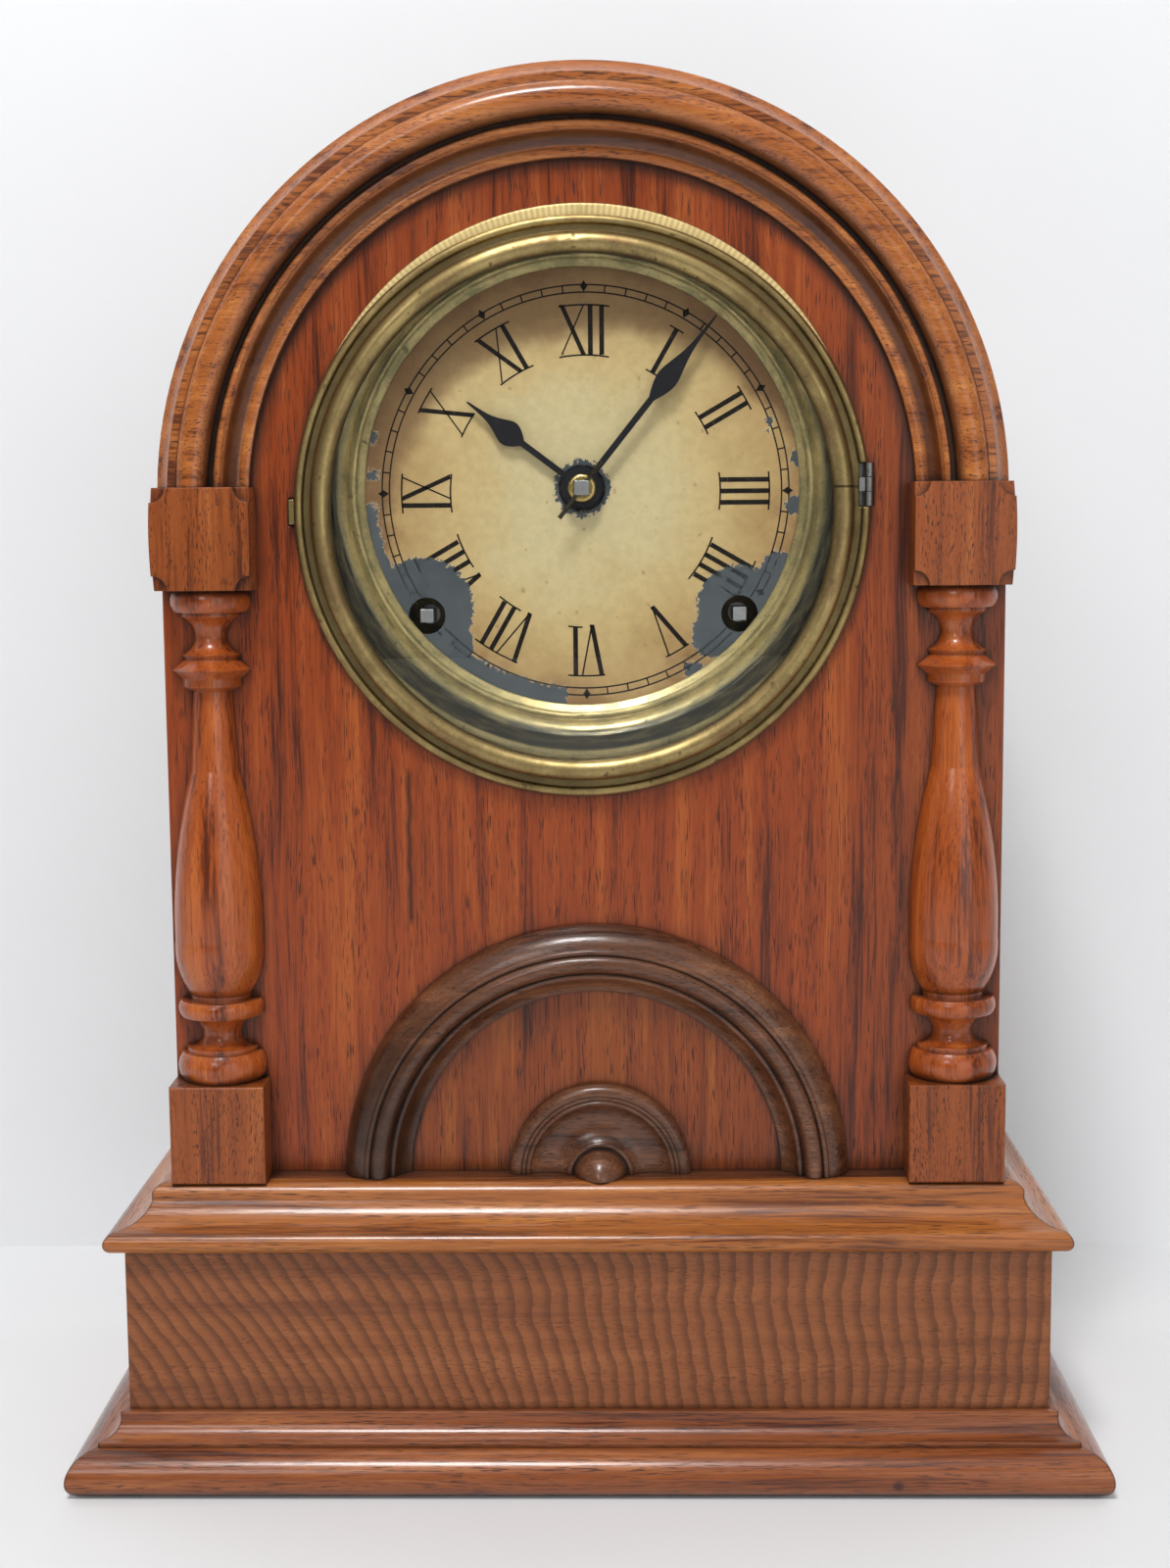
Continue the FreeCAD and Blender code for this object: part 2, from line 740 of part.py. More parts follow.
def half_column(outer_sign):
    tall = column_height / s.column_drawn_height
    torus_top = s.column_torus_height * tall
    scotia_foot = torus_top + s.column_fillet_height * tall
    neck = scotia_foot + 0.58 * s.column_scotia_height * tall
    disc = scotia_foot + s.column_scotia_height * tall
    disc_top = disc + s.column_disc_height * tall
    bulb = disc_top + s.column_fillet_height * tall
    belly = bulb + s.column_bulb_rise * tall
    waist = belly + s.column_waist_rise * tall
    top = column_height - s.column_top_turning * tall
    ring = top + s.column_top_ring_rise * tall
    ring_top = ring + s.column_top_ring_height * tall
    top_disc = top + s.column_top_disc_rise * tall
    flare = top + s.column_top_flare_rise * tall
    neck_top = top + s.column_top_neck_rise * tall
    collar_top = column_height - s.column_top_torus_height * tall
    collar = collar_top - s.column_top_fillet * tall
    turned = new_body(outer_sign * column_x, panel_y, plinth_top_z)
    revolve(turned, [
        (zero, zero),
        (s.column_torus_radius - 1.5, zero, 1.5 + zero),
        (s.column_torus_radius - 1.5, torus_top),
        (s.column_fillet_radius, torus_top),
        (s.column_fillet_radius, scotia_foot, -0.24 * s.column_scotia_height),
        (s.column_neck_radius, neck, -0.13 * s.column_scotia_height),
        (s.column_disc_radius - 0.8, disc, 0.8 + zero),
        (s.column_disc_radius - 0.8, disc_top),
        (s.column_bulb_foot_radius, disc_top),
        (s.column_bulb_foot_radius, bulb, 0.09 * s.column_bulb_rise),
        (s.column_bulb_radius, belly, 0.035 * s.column_waist_rise),
        (s.column_waist_radius, waist),
        (s.column_shaft_radius, top),
        (s.column_top_ring_radius, ring),
        (s.column_top_ring_radius, ring_top),
        (s.column_top_disc_radius, top_disc),
        (s.column_top_ring_radius - 0.8, flare - s.column_top_ring_rise * tall),
        (s.column_top_ring_radius, flare, -1.0 - zero),
        (s.column_top_neck_radius, neck_top, -1.1 - zero),
        (s.column_top_ring_radius, collar),
        (s.column_top_ring_radius, collar_top),
        (s.column_top_torus_radius - 1.3, collar_top, 1.3 + zero),
        (s.column_top_torus_radius - 1.3, column_height),
        (zero, column_height),
    ], "XZ_Plane", "V_Axis", 180.0, backwards=True)
    return turned


for side, sign in (("left", -1.0), ("right", 1.0)):
    node(f"cap_block_{side}", cap_block(sign))
    node(f"half_column_{side}", half_column(sign))
    node(f"plinth_block_{side}", plinth_block(sign))


# Lunette moulding and half rosette, both half turnings that stand on the deck

band_in = s.lunette_radius - s.lunette_band_width
lunette_bead_in = band_in - s.lunette_bead_width
lunette_torus_in = lunette_bead_in - s.lunette_torus_width
inner_bead_out = lunette_torus_in - s.quirk
inner_bead_in = inner_bead_out - s.lunette_inner_bead
lunette_lip = inner_bead_in - s.lunette_cove_width
lunette_low = s.lunette_band_height - 2.2
lunette = new_body(s.lunette_side, panel_y, deck_z)
revolve(lunette, [
    (lunette_lip, zero),
    (lunette_lip, -1.0 * s.lunette_lip_height, -0.18 * s.lunette_cove_width),
    (inner_bead_in, -1.0 * lunette_low, 0.42 * s.lunette_inner_bead),
    (inner_bead_out, -1.0 * lunette_low),
    (lunette_torus_in, -1.0 * (s.lunette_band_height - s.quirk), s.lunette_torus_crown),
    (lunette_bead_in, -1.0 * (s.lunette_band_height - s.quirk)),
    (lunette_bead_in, -1.0 * s.lunette_band_height, 0.42 * s.lunette_bead_width),
    (band_in, -1.0 * s.lunette_band_height, 0.22 * s.lunette_band_width),
    (s.lunette_radius, -2.0 - zero),
    (s.lunette_radius, zero),
], "XY_Plane", "V_Axis", 180.0, backwards=True)
node("lunette_moulding", lunette)

rim_in = s.rosette_radius - s.rosette_rim_width
bead_mid = rim_in - s.rosette_bead_width
bead_in = bead_mid - s.rosette_bead_width
rosette = new_body(s.rosette_side, panel_y, deck_z)
revolve(rosette, [
    (zero, zero),
    (zero, -1.0 * s.rosette_boss_reach, 0.2 * s.rosette_boss_radius),
    (s.rosette_boss_radius, 1.9 - s.rosette_boss_reach * 0.55),
    (s.rosette_boss_radius, -1.0 * s.rosette_rim_height),
    (s.rosette_boss_radius + 0.4, -1.0 * s.rosette_rim_height, 0.8 + zero),
    (s.rosette_ring_radius, -1.0 * s.rosette_rim_height, -1.8 - zero),
    (bead_in, -1.0 * s.rosette_rim_height + 0.6, 0.55 + zero),
    (bead_mid, -1.0 * s.rosette_rim_height + 0.6, 0.55 + zero),
    (rim_in, -1.0 * s.rosette_rim_height + 0.6),
    (rim_in, -1.0 * s.rosette_rim_height, 1.2 + zero),
    (s.rosette_radius, -2.0 - zero),
    (s.rosette_radius, zero),
], "XY_Plane", "V_Axis", 180.0, backwards=True)
node("half_rosette", rosette)


# Back: board let into the shell, door in a rebate, two butt hinges and a turn button

back_out_y = back_y - s.back_recess
door_half = s.door_width / 2
door_top = s.door_bottom + s.door_height
board_half = case_half - s.shell_thick - s.back_gap
back = new_body(0.0, back_out_y, 0.0)
pad(back, round_top(board_half, arch_height, deck_z), "XZ_Plane", s.back_thick)
pocket(back, "XZ_Plane", [rectangle(
    s.door_stop - door_half, s.door_bottom + s.door_stop,
    door_half - s.door_stop, door_top - s.door_stop)])
pocket(back, "XZ_Plane", [rectangle(
    -1.0 * (door_half + s.door_gap), s.door_bottom - s.door_gap,
    door_half + s.door_gap, door_top + s.door_gap)],
    depth=s.door_thick + s.running_gap, backwards=True)

node("back_door", box(-1.0 * door_half, back_out_y - s.door_thick, s.door_bottom,
                      s.door_width, s.door_thick, s.door_height))

back_hinge_x = door_half + s.door_gap / 2
back_hinge_y = back_out_y + s.back_knuckle_radius
knuckle = (s.back_hinge_length - 2.0 * s.running_gap) / 3.0
fixed_leaves, moving_leaves = [], []
for middle in (s.door_bottom + s.back_hinge_inset, door_top - s.back_hinge_inset):
    low = middle - s.back_hinge_length / 2
    leaf = box(back_hinge_x + s.back_knuckle_radius + s.running_gap, back_out_y, low,
               s.back_hinge_reach, s.leaf_thick, s.back_hinge_length)
    pin = cylinder(s.back_pin_radius, s.back_hinge_length, back_hinge_x, back_hinge_y, low)
    barrels = []
    for start in (low, low + 2.0 * (knuckle + s.running_gap)):
        barrels.append(cylinder(s.back_knuckle_radius, knuckle, back_hinge_x, back_hinge_y, start))
        barrels.append(box(back_hinge_x, back_out_y, start,
                           s.back_knuckle_radius + s.running_gap, s.leaf_thick, knuckle))
    fixed_leaves.append(fused(leaf, pin, *barrels))
    start = low + knuckle + s.running_gap
    plate = box(back_hinge_x - s.back_knuckle_radius - s.running_gap - s.back_hinge_reach,
                back_out_y, low, s.back_hinge_reach, s.leaf_thick, s.back_hinge_length)
    barrel = cylinder(s.back_knuckle_radius, knuckle, back_hinge_x, back_hinge_y, start)
    neck = box(back_hinge_x - s.back_knuckle_radius - s.running_gap, back_out_y, start,
               s.back_knuckle_radius + s.running_gap, s.leaf_thick, knuckle)
    bore = cylinder(s.back_pin_radius + s.pin_gap, knuckle, back_hinge_x, back_hinge_y, start)
    moving_leaves.append(cut(fused(plate, barrel, neck), bore))
node("back_hinge_moving", group(*moving_leaves))

button_x = -1.0 * (door_half + s.button_offset)
button_z = s.door_bottom + s.door_height / 2
button = new_body(button_x, back_out_y + s.running_gap, button_z)
button_half = s.button_width / 2
button_reach = s.button_length / 2 - button_half
pad(button, [
    (button_half, -1.0 * button_reach),
    (button_half, button_reach, button_half * QUARTER),
    (zero, button_reach + button_half, button_half * QUARTER),
    (-1.0 * button_half, button_reach),
    (-1.0 * button_half, -1.0 * button_reach, button_half * QUARTER),
    (zero, -1.0 * (button_reach + button_half), button_half * QUARTER),
], "XZ_Plane", s.button_thick, backwards=True)
pocket(button, "XZ_Plane", circles=[(zero, zero, s.rod_radius + s.pin_gap)])
node("turn_button", button)
button_pin = cylinder(s.rod_radius, s.back_thick / 2 + s.button_thick + s.running_gap,
                      button_x, back_out_y - s.back_thick / 2, button_z, FreeCAD.Rotation(V(1, 0, 0), -90))
button_bore = cylinder(s.rod_radius, s.back_thick / 2, button_x, back_out_y - s.back_thick / 2,
                       button_z, FreeCAD.Rotation(V(1, 0, 0), -90))
node("back_board", cut(back, button_bore))
node("back_fixed_hardware", group(button_pin, *fixed_leaves))


# Bezel: spun ring with a bead, a groove and a torus, hung on a small butt hinge

bezel_back = s.sight_flange_thick + s.running_gap
flange_top = bezel_back + s.bezel_flange_thick
bezel_bead_in = bezel_radius - s.bezel_bead_width
bezel_torus_out = bezel_bead_in - s.bezel_groove_width
bezel_torus_in = bezel_torus_out - s.bezel_torus_width
torus_half = s.bezel_torus_width / 2
torus_mid = bezel_torus_out - torus_half
rebate_radius = bezel_torus_in + s.bezel_rebate
glass_front = s.bezel_torus_base - s.bezel_lip_thick
bezel = new_body(0.0, panel_y, bezel_z)
revolve(bezel, [
    (bezel_torus_in, -1.0 * glass_front),
    (bezel_torus_in, -1.0 * s.bezel_torus_base, torus_half * QUARTER),
    (torus_mid, -1.0 * (s.bezel_torus_base + torus_half), torus_half * QUARTER),
    (bezel_torus_out, -1.0 * s.bezel_torus_base),
    (bezel_torus_out, -1.0 * flange_top),
    (bezel_bead_in, -1.0 * flange_top, s.bezel_bead_width * 0.45),
    (bezel_radius, -1.0 * flange_top),
    (bezel_radius, -1.0 * bezel_back),
    (rebate_radius, -1.0 * bezel_back),
    (rebate_radius, -1.0 * glass_front),
], "XY_Plane", "V_Axis")
notch_half = leaf_half + s.running_gap
pocket(bezel, "XZ_Plane", [rectangle(
    leaf_x, s.hinge_rise - notch_half, bezel_radius + 1.0, s.hinge_rise + notch_half)])
node("bezel_ring", bezel)

glass = cylinder(rebate_radius - s.glass_gap, s.glass_thick, 0.0, panel_y - glass_front, bezel_z,
                 FreeCAD.Rotation(V(1, 0, 0), -90))
node("bezel_glass", glass)

knuckle_long = (s.hinge_length - 2.0 * s.running_gap) / 3.0
hinge_low = hinge_z - leaf_half
plate = box(leaf_x, panel_y, hinge_low, leaf_right - leaf_x, s.leaf_thick, s.hinge_length)
pin = cylinder(s.hinge_pin_radius, s.hinge_length, hinge_x, hinge_y, hinge_low)
barrels = []
for start in (hinge_low, hinge_low + 2.0 * (knuckle_long + s.running_gap)):
    barrels.append(cylinder(s.knuckle_radius, knuckle_long, hinge_x, hinge_y, start))
    barrels.append(box(hinge_x - s.leaf_thick / 2, hinge_y, start,
                       s.leaf_thick, s.hinge_forward, knuckle_long))
node("bezel_hinge_fixed", fused(plate, pin, *barrels))

start = hinge_low + knuckle_long + s.running_gap
barrel = cylinder(s.knuckle_radius, knuckle_long, hinge_x, hinge_y, start)
leaf_y = hinge_y - s.leaf_thick / 2
tongue = box(leaf_x, leaf_y, start, s.hinge_leaf_reach, s.leaf_thick, knuckle_long)
bore = cylinder(s.hinge_pin_radius + s.pin_gap, knuckle_long, hinge_x, hinge_y, start)
node("bezel_hinge_moving", cut(fused(barrel, tongue), bore))

catch_z = bezel_z - s.catch_height / 2
node("bezel_catch", box(catch_x, panel_y - flange_top, catch_z,
                        s.catch_thick, flange_top + s.catch_depth, s.catch_height))


# Dial: zinc pan, paper and brass sight ring

sight = new_body(0.0, panel_y, dial_height)
revolve(sight, [
    (s.sight_inner_radius, s.dial_depth),
    (s.sight_inner_radius, s.dial_depth - 0.5),
    (sight_step_radius - 2.0, s.sight_step_depth + 1.4),
    (sight_step_radius - 1.6, s.sight_step_depth + 0.8, 0.5 + zero),
    (sight_step_radius, s.sight_step_depth + 0.8),
    (sight_step_radius + 0.4, s.sight_step_depth, 0.7 + zero),
    (sight_outer_radius - 0.8, zero + 0.1),
    (sight_outer_radius, -1.0 * s.sight_flange_thick),
    (sight_flange_radius, -1.0 * s.sight_flange_thick),
    (sight_flange_radius, zero),
    (panel_hole_radius - 0.2, zero),
    (panel_hole_radius - 0.2, 2.6 + zero),
    (dial_pan_radius, s.dial_depth),
], "XY_Plane", "V_Axis")
node("sight_ring", sight)

key_x = s.winding_spread / 2
key_holes = [(-1.0 * key_x, -1.0 * s.winding_drop, s.key_hole_radius),
             (key_x, -1.0 * s.winding_drop, s.key_hole_radius),
             (zero, zero, s.dial_centre_hole)]


def dial_disc(depth, thick):
    disc = new_body(0.0, panel_y + depth + thick, dial_height)
    sketch = on_plane(disc, "XZ_Plane")
    draw_circle(sketch, zero, zero, dial_pan_radius)
    for hole in key_holes:
        draw_circle(sketch, *hole)
    feature = disc.newObject("PartDesign::Pad", "Disc")
    feature.Profile = sketch
    bind(feature, Length=thick)
    return disc


node("dial_paper", dial_disc(s.dial_depth, s.dial_paper_thick))
pan_depth = s.dial_depth + s.dial_paper_thick
node("dial_pan", dial_disc(pan_depth, s.dial_pan_thick))


# Movement. Its pieces are drawn with x to the right and y up from the centre arbor, and z
# forward from the inner face of the front plate, then stood up behind the dial.

plate_y = panel_y + pan_depth + s.dial_pan_thick + s.plate_stand_off + s.plate_thick
stand = FreeCAD.Placement(
    V(0, float(plate_y), float(dial_height)), FreeCAD.Rotation(V(1, 0, 0), 90))
plate_thick = float(s.plate_thick)


def layer(front, thick):
    return (float(front), float(front + thick))


# layers, front and back, measured backwards from the front plate; the back plate follows from them
great_layer = layer(s.great_depth, s.great_thick)
ratchet_depth = s.great_depth + s.great_thick + s.ratchet_gap
ratchet_layer = layer(ratchet_depth, s.ratchet_thick)
spring_depth = ratchet_depth + s.ratchet_thick + s.spring_gap
spring_layer = layer(spring_depth, s.mainspring_width)
second_depth = spring_depth + s.mainspring_width + s.second_gap
second_layer = layer(second_depth, s.train_thick)
third_layer = layer(s.third_depth, s.train_thick)
strike_third_layer = layer(s.strike_third_depth, s.train_thick)
escape_layer = layer(s.escape_depth, s.escape_thick)
fly_layer = layer(s.fly_depth, s.fly_length)
spacing = float(second_depth + s.train_thick + s.pinion_overhang + s.end_room)


def beside(wheel_layer, overhang=float(s.pinion_overhang)):
    # the layer of the pinion that a wheel drives
    return (wheel_layer[0] - overhang, wheel_layer[1] + overhang)


def inside(name, shape):
    # a piece of the movement, whose shape is worked out from the sheet's values
    feature = doc.addObject("Part::Feature", "Movement")
    feature.Shape = shape
    feature.Placement = stand.multiply(shape.Placement)
    return node(name, feature)


def depth_of(y):
    # how far a place lies behind the inner face of the front plate
    return float(y) - float(plate_y)


def rod(radius, front, back, at=(0.0, 0.0)):
    return Part.makeCylinder(radius, back - front, V(at[0], at[1], -back))


def block(x0, x1, y0, y1, front, back):
    return Part.makeBox(x1 - x0, y1 - y0, back - front, V(x0, y0, -back))


def slab(face, front, back):
    return face.extrude(V(0, 0, back - front)).translate(V(0, 0, -back))


def polar(radius, angle, at=(0.0, 0.0)):
    return V(at[0] + radius * math.cos(angle), at[1] + radius * math.sin(angle), 0)


def circle_wire(radius, at=(0.0, 0.0)):
    return Part.Wire(Part.makeCircle(radius, V(at[0], at[1], 0)))


def pierced(outline, holes):
    return Part.makeFace([outline] + holes, "Part::FaceMakerBullseye")


def toothed_wire(teeth, module, phase):
    # straight-sided teeth for lantern pinions; a gap is centred on the phase angle
    pitch = teeth * module / 2
    root, tip = pitch - 1.25 * module, pitch + module
    points = []
    for index in range(teeth):
        middle = phase + (index + 0.5) * 2 * math.pi / teeth
        for radius, half in ((root, -0.75), (tip, -0.28), (tip, 0.28), (root, 0.75)):
            points.append(polar(radius, middle + half * module / radius))
    return Part.makePolygon(points + points[:1])


def window_wires(count, inner, outer, spoke):
    # the openings between the spokes of a crossed-out wheel
    wires = []
    step = 2 * math.pi / count
    for index in range(count):
        start, end = index * step, (index + 1) * step
        out_turn, in_turn = math.asin(spoke / 2 / outer), math.asin(spoke / 2 / inner)
        a, b = polar(outer, start + out_turn), polar(outer, end - out_turn)
        c, d = polar(inner, end - in_turn), polar(inner, start + in_turn)
        middle = (start + end) / 2
        wires.append(Part.Wire([
            Part.Arc(a, polar(outer, middle), b).toShape(),
            Part.LineSegment(b, c).toShape(),
            Part.Arc(c, polar(inner, middle), d).toShape(),
            Part.LineSegment(d, a).toShape(),
        ]))
    return wires


def rim_radius(teeth, module):
    return teeth * module / 2 - 1.25 * module - 2.2


def wheel(teeth, module, phase, front, back, hub, bore):
    holes = window_wires(5, hub, rim_radius(teeth, module), 2.0) + [circle_wire(bore)]
    return slab(pierced(toothed_wire(teeth, module, phase), holes), front, back)


def lantern(leaves, module, phase, front, back):
    # two shrouds and a cage of round trundles, one of them on the phase angle
    pitch, trundle = leaves * module / 2, 0.42 * module
    shroud = pitch + trundle + 0.5
    pieces = [rod(shroud, front, front + 1.0), rod(shroud, back - 1.0, back)]
    for index in range(leaves):
        spot = polar(pitch, phase + index * 2 * math.pi / leaves)
        pieces.append(rod(trundle, front + 0.5, back - 0.5, (spot.x, spot.y)))
    return pieces


def arbor(pieces, at):
    # a plain arbor with its two pivots, and what is fixed on it
    radius, pivot = float(s.arbor_radius), float(s.pivot_radius)
    body = rod(radius, 0.4, spacing - 0.4)
    ends = rod(pivot, -plate_thick, spacing + plate_thick)
    return body.multiFuse([ends] + pieces).translate(V(at[0], at[1], 0))


def heading(start, end):
    return math.atan2(end[1] - start[1], end[0] - start[0])


leaves = SIZES["pinion_leaves"]
great_mesh = float(s.great_module) * (SIZES["great_teeth"] + leaves) / 2
second_mesh = float(s.second_module) * (SIZES["second_teeth"] + leaves) / 2
third_mesh = float(s.third_module) * (SIZES["third_teeth"] + leaves) / 2
great_at = (float(key_x), -float(s.winding_drop))
second_x = float(s.second_arbor_side)
second_at = (second_x, great_at[1] + math.sqrt(great_mesh**2 - (great_at[0] - second_x)**2))
third_x = float(s.third_arbor_side)
third_at = (third_x, second_at[1] + math.sqrt(second_mesh**2 - (second_x - third_x)**2))
escape_at = (0.0, third_at[1] + math.sqrt(third_mesh**2 - third_x**2))
verge_at = (0.0, escape_at[1] + float(s.verge_rise))
motion_at = (0.0, -float(s.motion_module) * (SIZES["motion_teeth"] + SIZES["cannon_leaves"]) / 2)


def flip(at):
    return (-at[0], at[1])


fly_turn = math.radians(float(s.fly_angle))
strike_third_at = flip(third_at)
fly_spot = polar(third_mesh, fly_turn, strike_third_at)
fly_at = (fly_spot.x, fly_spot.y)
hammer_at = (-float(s.hammer_side), float(s.hammer_rise))

def great_wheel():
    # the wheel runs loose on its winding arbor and carries the click of the ratchet
    bore = float(s.winding_arbor_radius) + float(s.pin_gap)
    phase = heading(great_at, second_at)
    disc = wheel(SIZES["great_teeth"], float(s.great_module), phase, *great_layer,
                 float(s.great_hub_radius), bore)
    nose = float(s.ratchet_radius) + float(s.running_gap)
    post = rod(1.0, great_layer[1] - 0.5, ratchet_layer[1] + 0.6, (0.0, nose + 2.4))
    click_outline = Part.makePolygon([
        V(-1.8, nose + 3.4, 0), V(1.8, nose + 3.6, 0), V(2.0, nose + 1.4, 0),
        V(5.6, nose - 1.0, 0), V(-1.8, nose + 1.4, 0), V(-1.8, nose + 3.4, 0),
    ])
    click = slab(Part.Face(click_outline), *ratchet_layer).cut(
        rod(1.0 + float(s.pin_gap), 0.0, spacing, (0.0, nose + 2.4)))
    clear = rod(nose, 0.0, spacing)
    return Part.makeCompound([disc.fuse(post), click.cut(clear)])


def winding_arbor():
    radius, hub = float(s.winding_arbor_radius), float(s.spring_hub_radius)
    square = float(s.winding_square) / 2
    front = depth_of(panel_y + pan_depth)
    teeth = []
    outer = float(s.ratchet_radius)
    for index in range(SIZES["ratchet_teeth"]):
        turn = index * 2 * math.pi / SIZES["ratchet_teeth"]
        teeth += [polar(outer, turn), polar(outer - 1.6, turn + 0.03)]
    ratchet = slab(Part.Face(Part.makePolygon(teeth + teeth[:1])), *ratchet_layer)
    pieces = [
        block(-square, square, -square, square, front, -plate_thick),
        rod(radius - 0.5, -plate_thick - 0.3, 1.0),
        rod(hub, spring_layer[0] - 0.3, spring_layer[1] + 0.3),
        rod(float(s.arbor_radius) + 0.8, spacing - 1.0, spacing + plate_thick),
        ratchet,
    ]
    return rod(radius, 0.5, spacing - 0.4).multiFuse(pieces)


def mainspring():
    # an open spiral strip of half-circle arcs, with a tail that reaches the lower pillar
    strip = float(s.mainspring_strip)
    inner = float(s.spring_hub_radius) + float(s.running_gap)
    turns = SIZES["mainspring_turns"]
    step = (float(s.mainspring_radius) - strip - inner) / (2 * turns)
    post = pillar_spots()[3]
    end_turn = heading(great_at, post)
    sides = []
    for offset in (0.0, strip):
        edges = []
        x = inner + offset
        centre = 0.0
        sign = 1.0
        for index in range(2 * turns):
            radius = inner + offset + (index + 0.5) * step
            centre = sign * (x - radius)
            first = V(centre + sign * radius, 0, 0)
            middle = V(centre, sign * radius, 0)
            last = V(centre - sign * radius, 0, 0)
            edges.append(Part.Arc(first, middle, last).toShape())
            x = abs(last.x)
            sign = -sign
        sides.append((edges, V(inner + offset, 0, 0), last))
    (near, near_start, near_end), (far, far_start, far_end) = sides
    outline = Part.Wire(near + [Part.LineSegment(near_end, far_end).toShape()]
                        + far[::-1] + [Part.LineSegment(far_start, near_start).toShape()])
    coil = slab(Part.Face(outline), *spring_layer)
    reach = math.hypot(post[0] - great_at[0], post[1] - great_at[1]) - float(s.pillar_radius)
    tail = block(near_end.x, reach, -strip / 2, strip / 2, *spring_layer)
    return coil.fuse(tail).rotate(V(0, 0, 0), V(0, 0, 1), math.degrees(end_turn))


def handed(shape, hand):
    # a piece on a great arbor; the strike side is the going side seen in a mirror
    if hand < 0:
        shape = shape.mirror(V(0, 0, 0), V(1, 0, 0))
    return shape.translate(V(hand * great_at[0], great_at[1], 0))


def pillar_spots():
    inset = float(s.pillar_inset)
    x = float(s.plate_half_width) - inset
    top, bottom = float(s.plate_top) - inset, inset - float(s.plate_bottom)
    return [(-x, top), (x, top), (-x, bottom), (x, bottom)]


pivot_hole = float(s.pivot_radius) + float(s.pin_gap)
train_spots = [second_at, third_at, flip(second_at), strike_third_at, escape_at, fly_at, hammer_at]


def plate(front, back, centre_hole, winding_hole, verge_hole):
    half = float(s.plate_half_width)
    top, bottom = float(s.plate_top), -float(s.plate_bottom)
    corner = 5.0
    outline = Part.makePolygon([
        V(corner - half, bottom, 0), V(half - corner, bottom, 0), V(half, bottom + corner, 0),
        V(half, top - corner, 0), V(half - corner, top, 0), V(corner - half, top, 0),
        V(-half, top - corner, 0), V(-half, bottom + corner, 0), V(corner - half, bottom, 0),
    ])
    holes = [circle_wire(pivot_hole, at) for at in train_spots]
    holes += [circle_wire(winding_hole, at) for at in (great_at, flip(great_at))]
    holes += [circle_wire(float(s.pillar_spigot_radius), at) for at in pillar_spots()]
    holes += [circle_wire(centre_hole), circle_wire(verge_hole, verge_at)]
    return slab(pierced(outline, holes), front, back)


centre_radius = float(s.centre_arbor_radius)
front_plate = plate(-plate_thick, 0.0, centre_radius + float(s.pin_gap),
                    float(s.winding_arbor_radius) - 0.5 + float(s.pin_gap), pivot_hole)
stud = rod(float(s.pivot_radius), -plate_thick - float(s.motion_stud_length), -plate_thick, motion_at)
inside("front_plate", front_plate.fuse(stud))

rod_depth = spacing + plate_thick + float(s.pendulum_stand_off)
cock_low = verge_at[1] + 2.0
cock = block(-5.0, 5.0, cock_low, cock_low + 7.0, spacing + plate_thick, rod_depth + 3.5)
back_plate = plate(spacing, spacing + plate_thick, pivot_hole,
                   float(s.arbor_radius) + 0.8 + float(s.pin_gap), 1.6)
inside("back_plate", Part.makeCompound([back_plate, cock]))

pillars = []
panel_depth = depth_of(panel_back_y)
for spot in pillar_spots():
    spigot, post = float(s.pillar_spigot_radius), float(s.pillar_radius)
    pillars.append(rod(float(s.pillar_foot_radius), panel_depth, panel_depth + 2.0, spot).multiFuse([
        rod(post, panel_depth + 1.0, -plate_thick, spot),
        rod(spigot, -plate_thick - 1.0, spacing + plate_thick + 3.0, spot),
        rod(post, 0.0, spacing, spot),
        rod(post + 0.8, spacing + plate_thick, spacing + plate_thick + 2.2, spot),
    ]))
inside("plate_pillars", Part.makeCompound(pillars))

# going train on the right, strike train on the left
mesh_side = {"time": 1.0, "strike": -1.0}
lift_circle = rim_radius(SIZES["second_teeth"], float(s.second_module)) + 0.9
for train, hand in mesh_side.items():
    g_at = great_at if hand > 0 else flip(great_at)
    s_at = second_at if hand > 0 else flip(second_at)
    t_at = third_at if hand > 0 else strike_third_at
    last_at = escape_at if hand > 0 else fly_at
    t_layer = third_layer if hand > 0 else strike_third_layer
    inside(f"{train}_great_wheel", handed(great_wheel(), hand))
    inside(f"{train}_winding_arbor", handed(winding_arbor(), hand))
    pieces = lantern(leaves, float(s.great_module), heading(s_at, g_at), *beside(great_layer, 1.5))
    pieces.append(wheel(SIZES["second_teeth"], float(s.second_module), heading(s_at, t_at),
                        *second_layer, 5.0, 1.0))
    if hand < 0:
        for index in range(6):
            spot = polar(lift_circle, index * math.pi / 3)
            pieces.append(rod(0.7, second_layer[1] - 0.5, second_layer[1] + 2.2, (spot.x, spot.y)))
    inside(f"{train}_second_wheel", arbor(pieces, s_at))
    pieces = lantern(leaves, float(s.second_module), heading(t_at, s_at), *beside(second_layer))
    pieces.append(wheel(SIZES["third_teeth"], float(s.third_module), heading(t_at, last_at),
                        *t_layer, 4.0, 1.0))
    inside(f"{train}_third_wheel", arbor(pieces, t_at))

inside("mainsprings", Part.makeCompound([handed(mainspring(), 1.0), handed(mainspring(), -1.0)]))

